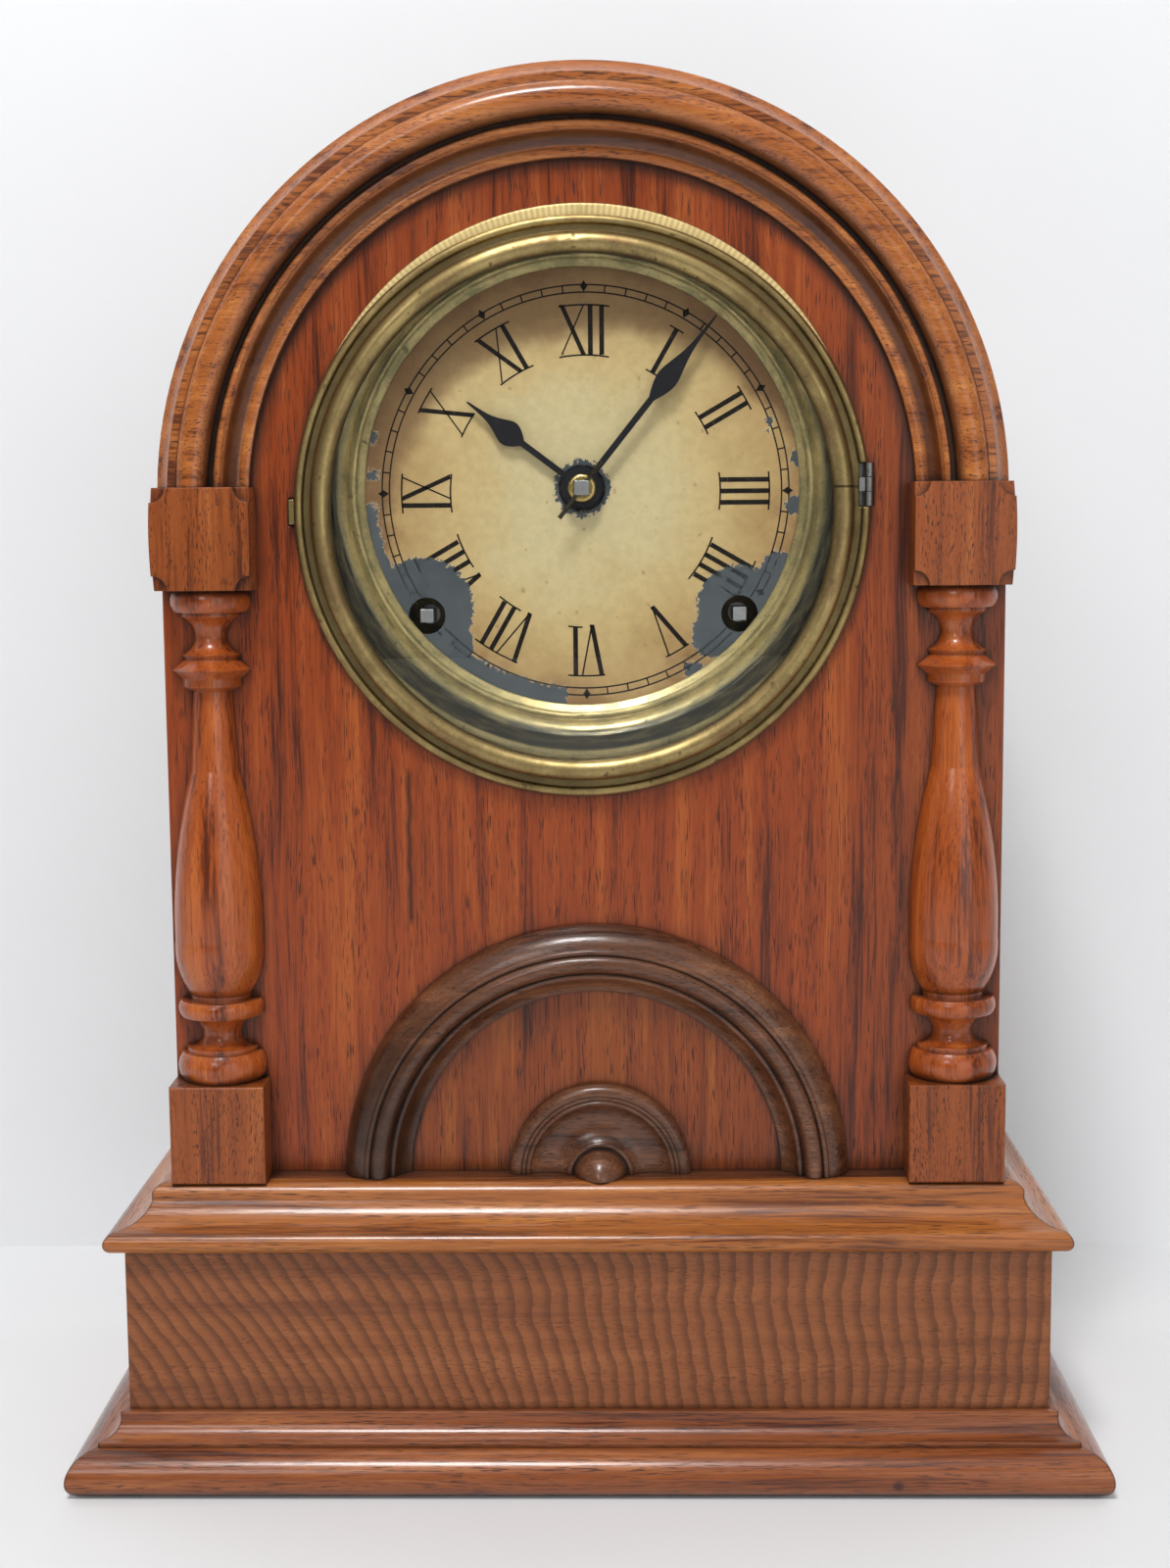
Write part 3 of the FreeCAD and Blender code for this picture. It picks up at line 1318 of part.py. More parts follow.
escape_points = []
for index in range(SIZES["escape_teeth"]):
    turn = index * 2 * math.pi / SIZES["escape_teeth"]
    escape_points += [polar(float(s.escape_radius), turn), polar(float(s.escape_radius) - 2.0, turn + 0.05)]
escape_rim = Part.makePolygon(escape_points + escape_points[:1])
escape_face = pierced(
    escape_rim, window_wires(4, 3.2, float(s.escape_radius) - 3.4, 1.4) + [circle_wire(1.0)])
pieces = lantern(leaves, float(s.third_module), heading(escape_at, third_at),
                 *beside(third_layer))
inside("escape_wheel", arbor(pieces + [slab(escape_face, *escape_layer)], escape_at))

# the fly: two vanes on the last pinion of the strike train
vane = float(s.fly_radius)
pieces = lantern(leaves, float(s.third_module), heading(fly_at, strike_third_at),
                 *beside(strike_third_layer))
pieces.append(block(-vane, vane, -0.4, 0.4, *fly_layer))
inside("strike_fly", arbor(pieces, fly_at))

# verge: a bent strip over the escape wheel on its own arbor, with the crutch behind the back plate
reach = float(s.escape_radius) + float(s.running_gap) + 0.4
rise = float(s.verge_rise)
pallet_layer = (escape_layer[0] - 1.0, escape_layer[1] + 1.0)
pallet_x = 0.62 * reach
strip = Part.makePolygon([
    V(-pallet_x - 1.2, -rise + 0.80 * reach, 0), V(-pallet_x, -rise + 0.80 * reach + 0.5, 0),
    V(-pallet_x + 0.6, -2.6, 0), V(pallet_x - 0.6, -2.6, 0),
    V(pallet_x, -rise + 0.80 * reach + 0.5, 0), V(pallet_x + 1.2, -rise + 0.80 * reach, 0),
    V(pallet_x + 1.0, -0.4, 0), V(1.6, 1.4, 0), V(-1.6, 1.4, 0), V(-pallet_x - 1.0, -0.4, 0),
    V(-pallet_x - 1.2, -rise + 0.80 * reach, 0),
])
crutch_front = spacing + plate_thick + 1.2
drop = float(s.crutch_drop)
slot = float(s.rod_radius) + float(s.running_gap)
foot = block(-2.6, 2.6, -drop - 1.2, -drop, crutch_front, rod_depth + 2.4).cut(
    block(-slot, slot, -drop - 2.0, -drop + 1.0, rod_depth - 1.2, rod_depth + 1.2))
verge = slab(Part.Face(strip), *pallet_layer).multiFuse([
    rod(1.0, 0.4, crutch_front + 1.4),
    rod(float(s.pivot_radius), -plate_thick, 1.0),
    block(-0.8, 0.8, -drop, 1.6, crutch_front, crutch_front + 1.4),
    foot,
]).translate(V(verge_at[0], verge_at[1], 0))
inside("verge", verge)

# pendulum: suspension spring, wire rod, lens-shaped bob and rating nut
rod_radius = float(s.rod_radius)
bob_y = verge_at[1] - float(s.pendulum_length)
bob_radius = float(s.bob_radius)
nut_low = bob_y - bob_radius - 3.4
tail_low = nut_low - 3.0
spring_low = verge_at[1] - float(s.suspension_length)
suspension = block(-0.2, 0.2, spring_low, cock_low - float(s.running_gap),
                   rod_depth - 2.5, rod_depth + 2.5)
wire_top = spring_low + float(s.suspension_lap)
wire = Part.makeCylinder(rod_radius, wire_top - tail_low, V(0, tail_low, -rod_depth), V(0, 1, 0))
inside("pendulum_rod", suspension.fuse(wire))

edge = 1.2
half_thick = float(s.bob_thick) / 2
swell = (bob_radius**2 + (half_thick - edge)**2) / (2 * (half_thick - edge))
lens = Part.makeSphere(swell, V(0, 0, half_thick - swell)).common(
    Part.makeSphere(swell, V(0, 0, swell - half_thick))).common(
    Part.makeCylinder(bob_radius, 2 * half_thick, V(0, 0, -half_thick)))
bob = lens.translate(V(0, bob_y, -rod_depth))
nut = Part.makeCylinder(3.2, 2.8, V(0, nut_low, -rod_depth), V(0, 1, 0))
hole = Part.makeCylinder(rod_radius + float(s.pin_gap), 4 * bob_radius,
                         V(0, bob_y - 2 * bob_radius, -rod_depth), V(0, 1, 0))
inside("pendulum_bob", Part.makeCompound([bob.cut(hole), nut.cut(hole)]))

# coil gong on its block, and the hammer that swings beside it
gong_depth = spacing - float(s.gong_forward)
gong_y = float(deck_z) + float(s.gong_height) - float(dial_height)
wire_radius = float(s.gong_wire) / 2
gong_half_turns = 2 * SIZES["gong_turns"]
gong_inner = float(s.gong_radius) - SIZES["gong_turns"] * float(s.gong_pitch)
edges = []
x = gong_inner
sign = 1.0
least_gap = float(s.gong_pitch) - 2 * wire_radius
for index in range(gong_half_turns):
    radius = gong_inner + (index + 0.5) * float(s.gong_pitch) / 2
    centre = sign * (x - radius)
    last = V(centre - sign * radius, 0, 0)
    edges.append(Part.Arc(V(centre + sign * radius, 0, 0), V(centre, sign * radius, 0), last).toShape())
    x = abs(last.x)
    sign = -sign
print(f"gong: least gap between turns {least_gap:.2f} mm")
spine = Part.Wire(edges)
section = Part.Wire(Part.makeCircle(wire_radius, V(gong_inner, 0, 0), V(0, 1, 0)))
coil = spine.makePipeShell([section], True, False)
inside("gong", coil.translate(V(0, gong_y, -gong_depth)))

block_width, block_depth = float(s.gong_block_width), float(s.gong_block_depth)
deck_y = float(deck_z) - float(dial_height)
post_back = gong_depth - wire_radius - 2.0
stand_block = block(-block_width / 2, block_width / 2, deck_y, deck_y + float(s.gong_block_height),
                    post_back - block_depth, post_back)
post = block(-4.0, gong_inner + 4.0, deck_y, gong_y + 4.0, post_back - 5.0, post_back)
ear = rod(3.0, post_back - 5.0, gong_depth - wire_radius, (gong_inner, gong_y))
inside("gong_block", stand_block.multiFuse([post, ear]))

head_at = (hammer_at[0] + float(s.hammer_lean), hammer_at[1] - float(s.hammer_drop))
arm_layer = gong_depth
hammer_head = Part.makeCylinder(float(s.hammer_head_radius), float(s.hammer_head_length),
                                V(head_at[0] - 0.67 * float(s.hammer_head_length), head_at[1], -arm_layer),
                                V(1, 0, 0))
lean = V(head_at[0] - hammer_at[0], head_at[1] - hammer_at[1], 0)
arm = Part.makeCylinder(1.0, lean.Length, V(hammer_at[0], hammer_at[1], -arm_layer), lean)
hammer_tail = Part.makeCylinder(0.8, float(s.hammer_tail_length),
                                V(hammer_at[0], hammer_at[1], -arm_layer), V(1, -0.55, 0))
hammer_arbor = arbor([], hammer_at)
inside("hammer", hammer_arbor.multiFuse([arm, hammer_head, hammer_tail]))

# motion work and hands: the minute hand on the centre arbor, the hour hand on the hour pipe
motion_module = float(s.motion_module)
hour_front = depth_of(panel_y + s.dial_depth - s.hour_hand_forward - s.hand_thick)
hour_back = hour_front + float(s.hand_thick)
minute_back = hour_front - float(s.hand_step)
minute_front = minute_back - float(s.hand_thick)
collet_front = minute_front - float(s.collet_thick)
arbor_tip = collet_front - float(s.centre_tip_reach)
tip_square = 0.69 * centre_radius
cannon_layer = (-7.0, -3.0)
motion_layer = (-5.7, -4.3)
hour_pinion_layer = (-12.0, -7.6)
hour_layer = (-10.6, -9.2)
pipe_bore = centre_radius + 0.1
pipe_radius = float(s.hour_pipe_radius)
cannon = lantern(SIZES["cannon_leaves"], motion_module, heading((0.0, 0.0), motion_at), *cannon_layer)
centre = rod(centre_radius, minute_back, spacing - 0.4).multiFuse(cannon + [
    block(-tip_square, tip_square, -tip_square, tip_square, arbor_tip, minute_back),
    rod(float(s.pivot_radius), spacing - 1.0, spacing + plate_thick),
])
pin_hole_depth = (arbor_tip + collet_front) / 2
pin_turn = math.radians(53.0)
pin_way = V(math.cos(pin_turn), math.sin(pin_turn), 0)
pin_radius, pin_length = float(s.taper_pin_radius), float(s.taper_pin_length)
taper_pin = Part.makeCone(pin_radius, pin_radius * 0.7, pin_length,
                          pin_way * (-0.53 * pin_length) - V(0, 0, pin_hole_depth), pin_way)
inside("centre_arbor", centre.cut(taper_pin))

collet = rod(float(s.collet_radius), collet_front, minute_front)
collet = collet.makeFillet(0.9, [e for e in collet.Edges if abs(e.CenterOfMass.z + collet_front) < 0.01
                                 and len(e.Vertexes) == 1])
collet = collet.cut(block(-tip_square, tip_square, -tip_square, tip_square, arbor_tip - 1, 0))
inside("hand_collet", Part.makeCompound([collet, taper_pin]))

pipe = rod(pipe_radius, hour_front - 0.4, hour_layer[1] + 0.4)
hour_rim = toothed_wire(SIZES["hour_teeth"], motion_module, heading((0.0, 0.0), motion_at))
hour_disc = slab(pierced(hour_rim, window_wires(4, 6.0, 9.2, 1.6)), *hour_layer)
hour_wheel = pipe.fuse(hour_disc).cut(rod(pipe_bore, hour_front - 2.0, 0.0))
inside("hour_wheel", hour_wheel)

up = heading(motion_at, (0.0, 0.0))
motion = lantern(leaves, motion_module, up, *hour_pinion_layer)
motion_rim = toothed_wire(SIZES["motion_teeth"], motion_module, up)
motion_disc = slab(pierced(motion_rim, window_wires(4, 5.0, 8.4, 1.6)), *motion_layer)
motion_wheel = motion_disc.multiFuse(motion + [rod(1.6, hour_pinion_layer[0], motion_layer[1] + 0.6)])
motion_wheel = motion_wheel.cut(rod(float(s.pivot_radius) + float(s.pin_gap), -20.0, 0.0))
inside("motion_wheel", motion_wheel.translate(V(motion_at[0], motion_at[1], 0)))


def pear_hand(length, pear, hub, arm, tip):
    # one half from the hub to the point, a straight arm and a smooth pear, then its mirror image
    start = math.sqrt(hub**2 - (arm / 2)**2)
    foot, knee = V(arm / 2, start, 0), V(arm / 2, length * 0.52, 0)
    half_pear, half_tip = pear / 2, tip / 2
    point = V(half_tip, length, 0)
    swell = Part.BSplineCurve()
    swell.interpolate([
        knee, V(half_pear * 0.72, length * 0.57, 0), V(half_pear, length * 0.635, 0),
        V(half_pear * 0.78, length * 0.70, 0), V(half_pear * 0.36, length * 0.79, 0),
        V(half_pear * 0.18, length * 0.88, 0), point,
    ])
    curve = [Part.LineSegment(foot, knee).toShape(), swell.toShape()]
    other = [edge.mirror(V(0, 0, 0), V(1, 0, 0)) for edge in curve]
    wire = Part.Wire(Part.__sortEdges__(
        curve + other + [Part.LineSegment(point, V(-half_tip, length, 0)).toShape(),
                         Part.Arc(V(-arm / 2, start, 0), V(0, -hub, 0), foot).toShape()]))
    return Part.Face(wire)


def hand(outline, hole, clockwise, front, back):
    blade = slab(outline, front, back).cut(hole)
    return blade.rotate(V(0, 0, 0), V(0, 0, 1), -clockwise)


arm_width, tip_width = float(s.hand_arm_width), float(s.hand_tip_width)
hub_radius = float(s.hand_hub_radius)
minute_outline = pear_hand(float(s.minute_hand_length), float(s.minute_pear_width),
                           hub_radius, arm_width, tip_width)
square_hole = block(-tip_square, tip_square, -tip_square, tip_square, minute_front - 1, minute_back + 1)
square_hole = square_hole.rotate(V(0, 0, 0), V(0, 0, 1), float(s.minute_hand_angle))
inside("minute_hand", hand(minute_outline, square_hole, float(s.minute_hand_angle),
                           minute_front, minute_back))
hour_outline = pear_hand(float(s.hour_hand_length), float(s.hour_pear_width),
                         hub_radius + 0.8, arm_width, tip_width)
inside("hour_hand", hand(hour_outline, rod(pipe_radius, hour_front - 1, hour_back + 1),
                         float(s.hour_hand_angle), hour_front, hour_back))


# Build, test every piece and write it

doc.recompute()
for thing in doc.Objects:
    if "Invalid" in thing.State or "Error" in thing.State:
        raise RuntimeError(f"{thing.Name} ({thing.Label}) failed: {thing.State}")
broken = [name for name, thing in nodes.items() if thing.Shape.isNull() or not thing.Shape.isValid()]
if broken:
    raise RuntimeError(f"no valid shape: {broken}")

os.makedirs("parts", exist_ok=True)
for name, thing in nodes.items():
    thing.Shape.exportStep(f"parts/{name}.step")
print(f"{len(nodes)} nodes written")
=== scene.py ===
import math

import bmesh
import bpy
from mathutils import Matrix, Vector


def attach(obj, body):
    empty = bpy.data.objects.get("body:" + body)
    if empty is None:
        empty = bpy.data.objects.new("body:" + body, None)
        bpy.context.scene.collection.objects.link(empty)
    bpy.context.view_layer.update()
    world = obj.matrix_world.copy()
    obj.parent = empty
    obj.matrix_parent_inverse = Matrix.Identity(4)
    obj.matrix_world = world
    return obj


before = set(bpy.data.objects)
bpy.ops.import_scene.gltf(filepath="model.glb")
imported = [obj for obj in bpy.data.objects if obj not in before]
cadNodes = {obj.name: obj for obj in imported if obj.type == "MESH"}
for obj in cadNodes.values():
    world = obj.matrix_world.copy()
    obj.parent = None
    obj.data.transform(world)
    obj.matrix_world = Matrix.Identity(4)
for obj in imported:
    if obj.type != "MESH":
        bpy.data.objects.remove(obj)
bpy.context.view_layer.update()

mm = 0.001
dialCentre = Vector((0.0, 0.0, 0.3005))
bezelCentre = Vector((0.0, 0.0, 0.294))
archCentre = Vector((0.0, 0.0, 0.297))
shellRadius = 127 * mm
printCentre = Vector((0.00095, 0.0, 0.2993))
print("frame loaded:", len(cadNodes), "nodes")


# small helpers for node trees

def wire(tree, socket, value):
    if isinstance(value, bpy.types.NodeSocket):
        tree.links.new(value, socket)
    elif isinstance(value, tuple) and len(value) == 3 and socket.type == "RGBA":
        socket.default_value = (*value, 1.0)
    else:
        socket.default_value = value


def addNode(tree, kind, inputs=None, **props):
    node = tree.nodes.new(kind)
    for name, value in props.items():
        setattr(node, name, value)
    for key, value in (inputs or {}).items():
        wire(tree, node.inputs[key], value)
    return node


def calc(tree, operation, first, second=0.0, third=0.0, clamp=False):
    values = {0: first, 1: second, 2: third}
    return addNode(tree, "ShaderNodeMath", values, operation=operation, use_clamp=clamp).outputs[0]


def remap(tree, value, fromLow, fromHigh, toLow=0.0, toHigh=1.0):
    values = {"Value": value, 1: fromLow, 2: fromHigh, 3: toLow, 4: toHigh}
    return addNode(tree, "ShaderNodeMapRange", values, interpolation_type="SMOOTHSTEP").outputs[0]


def mixColour(tree, factor, first, second, mode="MIX"):
    values = {0: factor, 6: first, 7: second}
    mix = addNode(tree, "ShaderNodeMix", values, data_type="RGBA", blend_type=mode)
    return mix.outputs[2]


def split(tree, vector):
    parts = addNode(tree, "ShaderNodeSeparateXYZ", {0: vector}).outputs
    return parts["X"], parts["Y"], parts["Z"]


def join(tree, x, y, z):
    return addNode(tree, "ShaderNodeCombineXYZ", {"X": x, "Y": y, "Z": z}).outputs[0]


def vectorCalc(tree, operation, first, second):
    return addNode(tree, "ShaderNodeVectorMath", {0: first, 1: second}, operation=operation).outputs[0]


def stretch(tree, vector, scale):
    if isinstance(scale, float):
        scale = (scale, scale, scale)
    return vectorCalc(tree, "MULTIPLY", vector, scale)


def noise(tree, vector, detail=2.0, roughness=0.5, output="Fac"):
    values = {"Vector": vector, "Scale": 1.0, "Detail": detail, "Roughness": roughness}
    return addNode(tree, "ShaderNodeTexNoise", values).outputs[output]


def drift(tree, vector, detail, roughness=0.5):
    # a vector that wanders about zero
    return vectorCalc(tree, "SUBTRACT", noise(tree, vector, detail, roughness, "Color"), (0.5, 0.5, 0.5))


def objectPlace(tree):
    return addNode(tree, "ShaderNodeTexCoord").outputs["Object"]


def away(tree, x, z, centreX, centreZ):
    sideways = calc(tree, "SUBTRACT", x, centreX)
    upwards = calc(tree, "SUBTRACT", z, centreZ)
    squares = calc(tree, "MULTIPLY_ADD", sideways, sideways, calc(tree, "MULTIPLY", upwards, upwards))
    return calc(tree, "SQRT", squares)


def inMetres(limits):
    return [limit * mm for limit in limits]


def edgeMask(tree, value, limits, low=0.0, high=1.0):
    return remap(tree, value, *inMetres(limits), low, high)


def bandMask(tree, value, band):
    # full between the second limit and the fourth, nothing outside the first and the third; all in mm
    return calc(tree, "MULTIPLY", edgeMask(tree, value, band[:2]), edgeMask(tree, value, band[2:]))


def makeGroup(name, inputs, outputs):
    tree = bpy.data.node_groups.new(name, "ShaderNodeTree")
    kinds = {"value": "NodeSocketFloat", "colour": "NodeSocketColor", "vector": "NodeSocketVector"}
    for label, (kind, start) in inputs.items():
        socket = tree.interface.new_socket(label, in_out="INPUT", socket_type=kinds[kind])
        if kind == "colour":
            socket.default_value = (*start, 1.0)
        elif kind == "value":
            socket.default_value = start
    for label, kind in outputs.items():
        tree.interface.new_socket(label, in_out="OUTPUT", socket_type=kinds[kind])
    given = tree.nodes.new("NodeGroupInput").outputs
    result = tree.nodes.new("NodeGroupOutput").inputs
    return tree, given, result


def useGroup(tree, group, inputs):
    node = tree.nodes.new("ShaderNodeGroup")
    node.node_tree = group
    for key, value in inputs.items():
        wire(tree, node.inputs[key], value)
    return node.outputs


# shared effects

def makeWoodFigure():
    # grain runs along the first axis of Vector: broad bands, fine fibre and dark pores
    tree, given, result = makeGroup("woodFigure", {
        "Vector": ("vector", None), "Dark": ("colour", (0.1, 0.02, 0.01)), "Base": ("colour", (0.3, 0.07, 0.02)),
        "Light": ("colour", (0.4, 0.12, 0.04)), "Fibre": ("value", 1.0), "Pores": ("value", 0.6),
        "Short": ("value", 1.0), "Seed": ("value", 0.0),
    }, {"Color": "colour", "Height": "value", "Roughness": "value"})
    seed = given["Seed"]
    shift = join(tree, calc(tree, "MULTIPLY", seed, 0.73), calc(tree, "MULTIPLY", seed, 0.31), seed)
    place = vectorCalc(tree, "ADD", given["Vector"], shift)
    sway = drift(tree, stretch(tree, place, (9.0, 34.0, 34.0)), 1.0)
    bent = vectorCalc(tree, "ADD", stretch(tree, sway, (0.0, 0.006, 0.006)), place)
    bands = noise(tree, stretch(tree, bent, (7.0, 150.0, 150.0)), 3.0, 0.6)
    fibre = noise(tree, stretch(tree, bent, (34.0, 1300.0, 1300.0)), 2.0, 0.6)
    thin = join(tree, calc(tree, "MULTIPLY", given["Short"], 150.0), 2700.0, 2700.0)
    pores = remap(tree, noise(tree, stretch(tree, bent, thin), 1.0), 0.56, 0.66)
    crowd = remap(tree, noise(tree, stretch(tree, bent, (20.0, 320.0, 320.0)), 2.0), 0.35, 0.6, 0.25, 1.0)
    pores = calc(tree, "MULTIPLY", pores, crowd)
    lift = calc(tree, "MULTIPLY", calc(tree, "SUBTRACT", fibre, 0.5), given["Fibre"])
    tone = calc(tree, "MULTIPLY_ADD", lift, 0.5, bands)
    colour = mixColour(tree, remap(tree, tone, 0.26, 0.5), given["Dark"], given["Base"])
    colour = mixColour(tree, remap(tree, tone, 0.5, 0.74), colour, given["Light"])
    darkTone = mixColour(tree, 1.0, given["Dark"], (0.5, 0.5, 0.5), "MULTIPLY")
    colour = mixColour(tree, calc(tree, "MULTIPLY", pores, given["Pores"]), colour, darkTone)
    wire(tree, result["Color"], colour)
    wire(tree, result["Height"], calc(tree, "SUBTRACT", calc(tree, "MULTIPLY", fibre, 0.35), pores))
    wire(tree, result["Roughness"], calc(tree, "MULTIPLY_ADD", pores, 0.2, remap(tree, bands, 0.3, 0.7, 0.27, 0.36)))
    return tree


def makeCornerShadeAndDirt():
    # painted shade in corners, creases and between parts, with old polish and soot there too, broken up a little
    tree, given, result = makeGroup("cornerShadeAndDirt", {
        "Vector": ("vector", None), "Color": ("colour", (0.3, 0.1, 0.03)), "DirtAndShade": ("colour", (0.012, 0.007, 0.005)),
        "Reach": ("value", 0.004), "Amount": ("value", 0.8),
    }, {"Color": "colour", "Mask": "value"})
    corner = addNode(tree, "ShaderNodeAmbientOcclusion", {"Distance": given["Reach"]}, samples=6).outputs["AO"]
    patchy = remap(tree, noise(tree, stretch(tree, given["Vector"], 120.0), 3.0), 0.3, 0.7, 0.7, 1.0)
    mask = calc(tree, "MULTIPLY", remap(tree, corner, 0.86, 0.3), patchy)
    mask = calc(tree, "MULTIPLY", mask, given["Amount"], clamp=True)
    wire(tree, result["Color"], mixColour(tree, mask, given["Color"], given["DirtAndShade"]))
    wire(tree, result["Mask"], mask)
    return tree


def makeRubbedEdge():
    # where the bevelled normal leaves the true one, hands and dusters have rubbed the polish
    tree, given, result = makeGroup("rubbedEdge", {"Width": ("value", 0.0007)}, {"Mask": "value", "Normal": "vector"})
    soft = addNode(tree, "ShaderNodeBevel", {"Radius": given["Width"]}, samples=4).outputs[0]
    true = addNode(tree, "ShaderNodeNewGeometry").outputs["Normal"]
    turn = addNode(tree, "ShaderNodeVectorMath", {0: soft, 1: true}, operation="DOT_PRODUCT").outputs["Value"]
    wire(tree, result["Mask"], remap(tree, turn, 0.985, 0.82))
    wire(tree, result["Normal"], soft)
    return tree


def makeTarnish():
    # aged brass: olive tarnish in clouds, brown spots, brighter where it was handled
    tree, given, result = makeGroup("tarnish", {
        "Vector": ("vector", None), "Bright": ("colour", (0.6, 0.46, 0.18)), "Dull": ("colour", (0.2, 0.15, 0.06)),
        "Spots": ("colour", (0.06, 0.04, 0.02)), "Amount": ("value", 0.5), "Seed": ("value", 0.0),
    }, {"Color": "colour", "Roughness": "value", "Height": "value"})
    shift = join(tree, given["Seed"], calc(tree, "MULTIPLY", given["Seed"], 0.37), 0.0)
    place = vectorCalc(tree, "ADD", given["Vector"], shift)
    clouds = noise(tree, stretch(tree, place, 70.0), 5.0, 0.65)
    grains = noise(tree, stretch(tree, place, 900.0), 3.0, 0.6)
    cover = remap(tree, calc(tree, "MULTIPLY_ADD", grains, 0.25, clouds), 0.42, 0.8)
    cover = calc(tree, "MULTIPLY", cover, given["Amount"], clamp=True)
    spots = remap(tree, noise(tree, stretch(tree, place, 330.0), 2.0), 0.66, 0.76)
    colour = mixColour(tree, cover, given["Bright"], given["Dull"])
    colour = mixColour(tree, calc(tree, "MULTIPLY", spots, 0.7), colour, given["Spots"])
    wire(tree, result["Color"], colour)
    rough = calc(tree, "MULTIPLY_ADD", spots, 0.1, 0.24)
    wire(tree, result["Roughness"], calc(tree, "MULTIPLY_ADD", cover, 0.16, rough))
    wire(tree, result["Height"], calc(tree, "MULTIPLY_ADD", spots, -0.4, grains))
    return tree


def makeSplitLine():
    # one thin split along the height, wavering a little, between two heights
    tree, given, result = makeGroup("splitLine", {
        "Vector": ("vector", None), "Across": ("value", 0.0), "Low": ("value", 0.1), "High": ("value", 0.2),
        "Width": ("value", 0.0003),
    }, {"Mask": "value"})
    x, y, z = split(tree, given["Vector"])
    waver = noise(tree, join(tree, 0.0, 0.0, calc(tree, "MULTIPLY", z, 130.0)), 3.0)
    centre = calc(tree, "MULTIPLY_ADD", calc(tree, "SUBTRACT", waver, 0.5), 0.0022, given["Across"])
    off = calc(tree, "ABSOLUTE", calc(tree, "SUBTRACT", x, centre))
    line = calc(tree, "SUBTRACT", 1.0, calc(tree, "DIVIDE", off, given["Width"]), clamp=True)
    rise = calc(tree, "DIVIDE", calc(tree, "SUBTRACT", z, given["Low"]), 0.003, clamp=True)
    fall = calc(tree, "DIVIDE", calc(tree, "SUBTRACT", given["High"], z), 0.003, clamp=True)
    wire(tree, result["Mask"], calc(tree, "MULTIPLY", line, calc(tree, "MULTIPLY", rise, fall)))
    return tree


tears = {  # places in mm from the middle of the dial, x to the right, y up
    "rounds": ((-49.0, -36.0, 15.6), (-43.0, -47.0, 9.5), (47.5, -36.5, 13.0), (40.0, -44.5, 7.0), (60.0, -26.0, 6.5),
               (64.5, -5.5, 3.0), (34.0, -55.5, 3.0), (56.5, 19.5, 1.1), (56.0, 16.6, 0.9), (66.4, 9.0, 3.4),
               (-63.6, 15.8, 1.9), (-63.4, 4.4, 1.7), (0.0, 0.0, 8.4)),
    "lowerRim": 60.4, "lowerEnds": (-5.0, -30.0), "leftRim": 62.6, "leftEnds": (-4.7, -34.0), "rag": 3.6,
}


def makePaperTear():
    # paper torn off the zinc: round scars at the winding holes, strips at the rim, a scar at the hub
    tree, given, result = makeGroup("paperTear", {"Vector": ("vector", None)}, {"Mask": "value", "Fringe": "value"})
    spot = stretch(tree, given["Vector"], (1.0, 0.0, 1.0))
    rag = drift(tree, stretch(tree, spot, (560.0, 0.0, 560.0)), 4.0, 0.75)
    reach = tears["rag"] * 2.0 * mm
    spot = vectorCalc(tree, "ADD", stretch(tree, rag, (reach, 0.0, reach)), spot)
    x, y, z = split(tree, spot)
    nearest = 1.0
    for across, up, radius in tears["rounds"]:
        gap = calc(tree, "SUBTRACT", away(tree, x, z, across * mm, dialCentre.z + up * mm), radius * mm)
        nearest = calc(tree, "MINIMUM", nearest, gap)
    out = away(tree, x, z, 0.0, dialCentre.z)
    up = calc(tree, "SUBTRACT", z, dialCentre.z)
    lowerAcross, lowerTop = inMetres(tears["lowerEnds"])
    leftTop, leftLow = inMetres(tears["leftEnds"])
    lower = calc(tree, "MAXIMUM", calc(tree, "SUBTRACT", x, lowerAcross), calc(tree, "SUBTRACT", up, lowerTop))
    lower = calc(tree, "MAXIMUM", lower, calc(tree, "SUBTRACT", tears["lowerRim"] * mm, out))
    left = calc(tree, "MAXIMUM", x, calc(tree, "SUBTRACT", up, leftTop))
    left = calc(tree, "MAXIMUM", left, calc(tree, "SUBTRACT", tears["leftRim"] * mm, out))
    left = calc(tree, "MAXIMUM", left, calc(tree, "SUBTRACT", leftLow, up))
    nearest = calc(tree, "MINIMUM", nearest, calc(tree, "MINIMUM", lower, left))
    wire(tree, result["Mask"], remap(tree, nearest, 0.00005, -0.00005))
    wire(tree, result["Fringe"], remap(tree, nearest, 0.0005, 0.00005))
    return tree


woodFigure = makeWoodFigure()
cornerShadeAndDirt = makeCornerShadeAndDirt()
rubbedEdge = makeRubbedEdge()
tarnish = makeTarnish()
splitLine = makeSplitLine()
paperTear = makePaperTear()
print("shared effects made")


# materials

def newMaterial(name):
    material = bpy.data.materials.new(name)
    material.use_nodes = True
    tree = material.node_tree
    return material, tree, tree.nodes["Principled BSDF"].inputs


def seeThrough(tree, factor):
    # lets the view pass where the factor is 1
    clear = addNode(tree, "ShaderNodeBsdfTransparent").outputs[0]
    solid = tree.nodes["Principled BSDF"].outputs[0]
    mix = addNode(tree, "ShaderNodeMixShader", {0: factor, 1: solid, 2: clear})
    wire(tree, tree.nodes["Material Output"].inputs["Surface"], mix.outputs[0])


def dress(material, *names):
    for name in names:
        slots = cadNodes[name].data.materials
        slots.clear()
        slots.append(material)


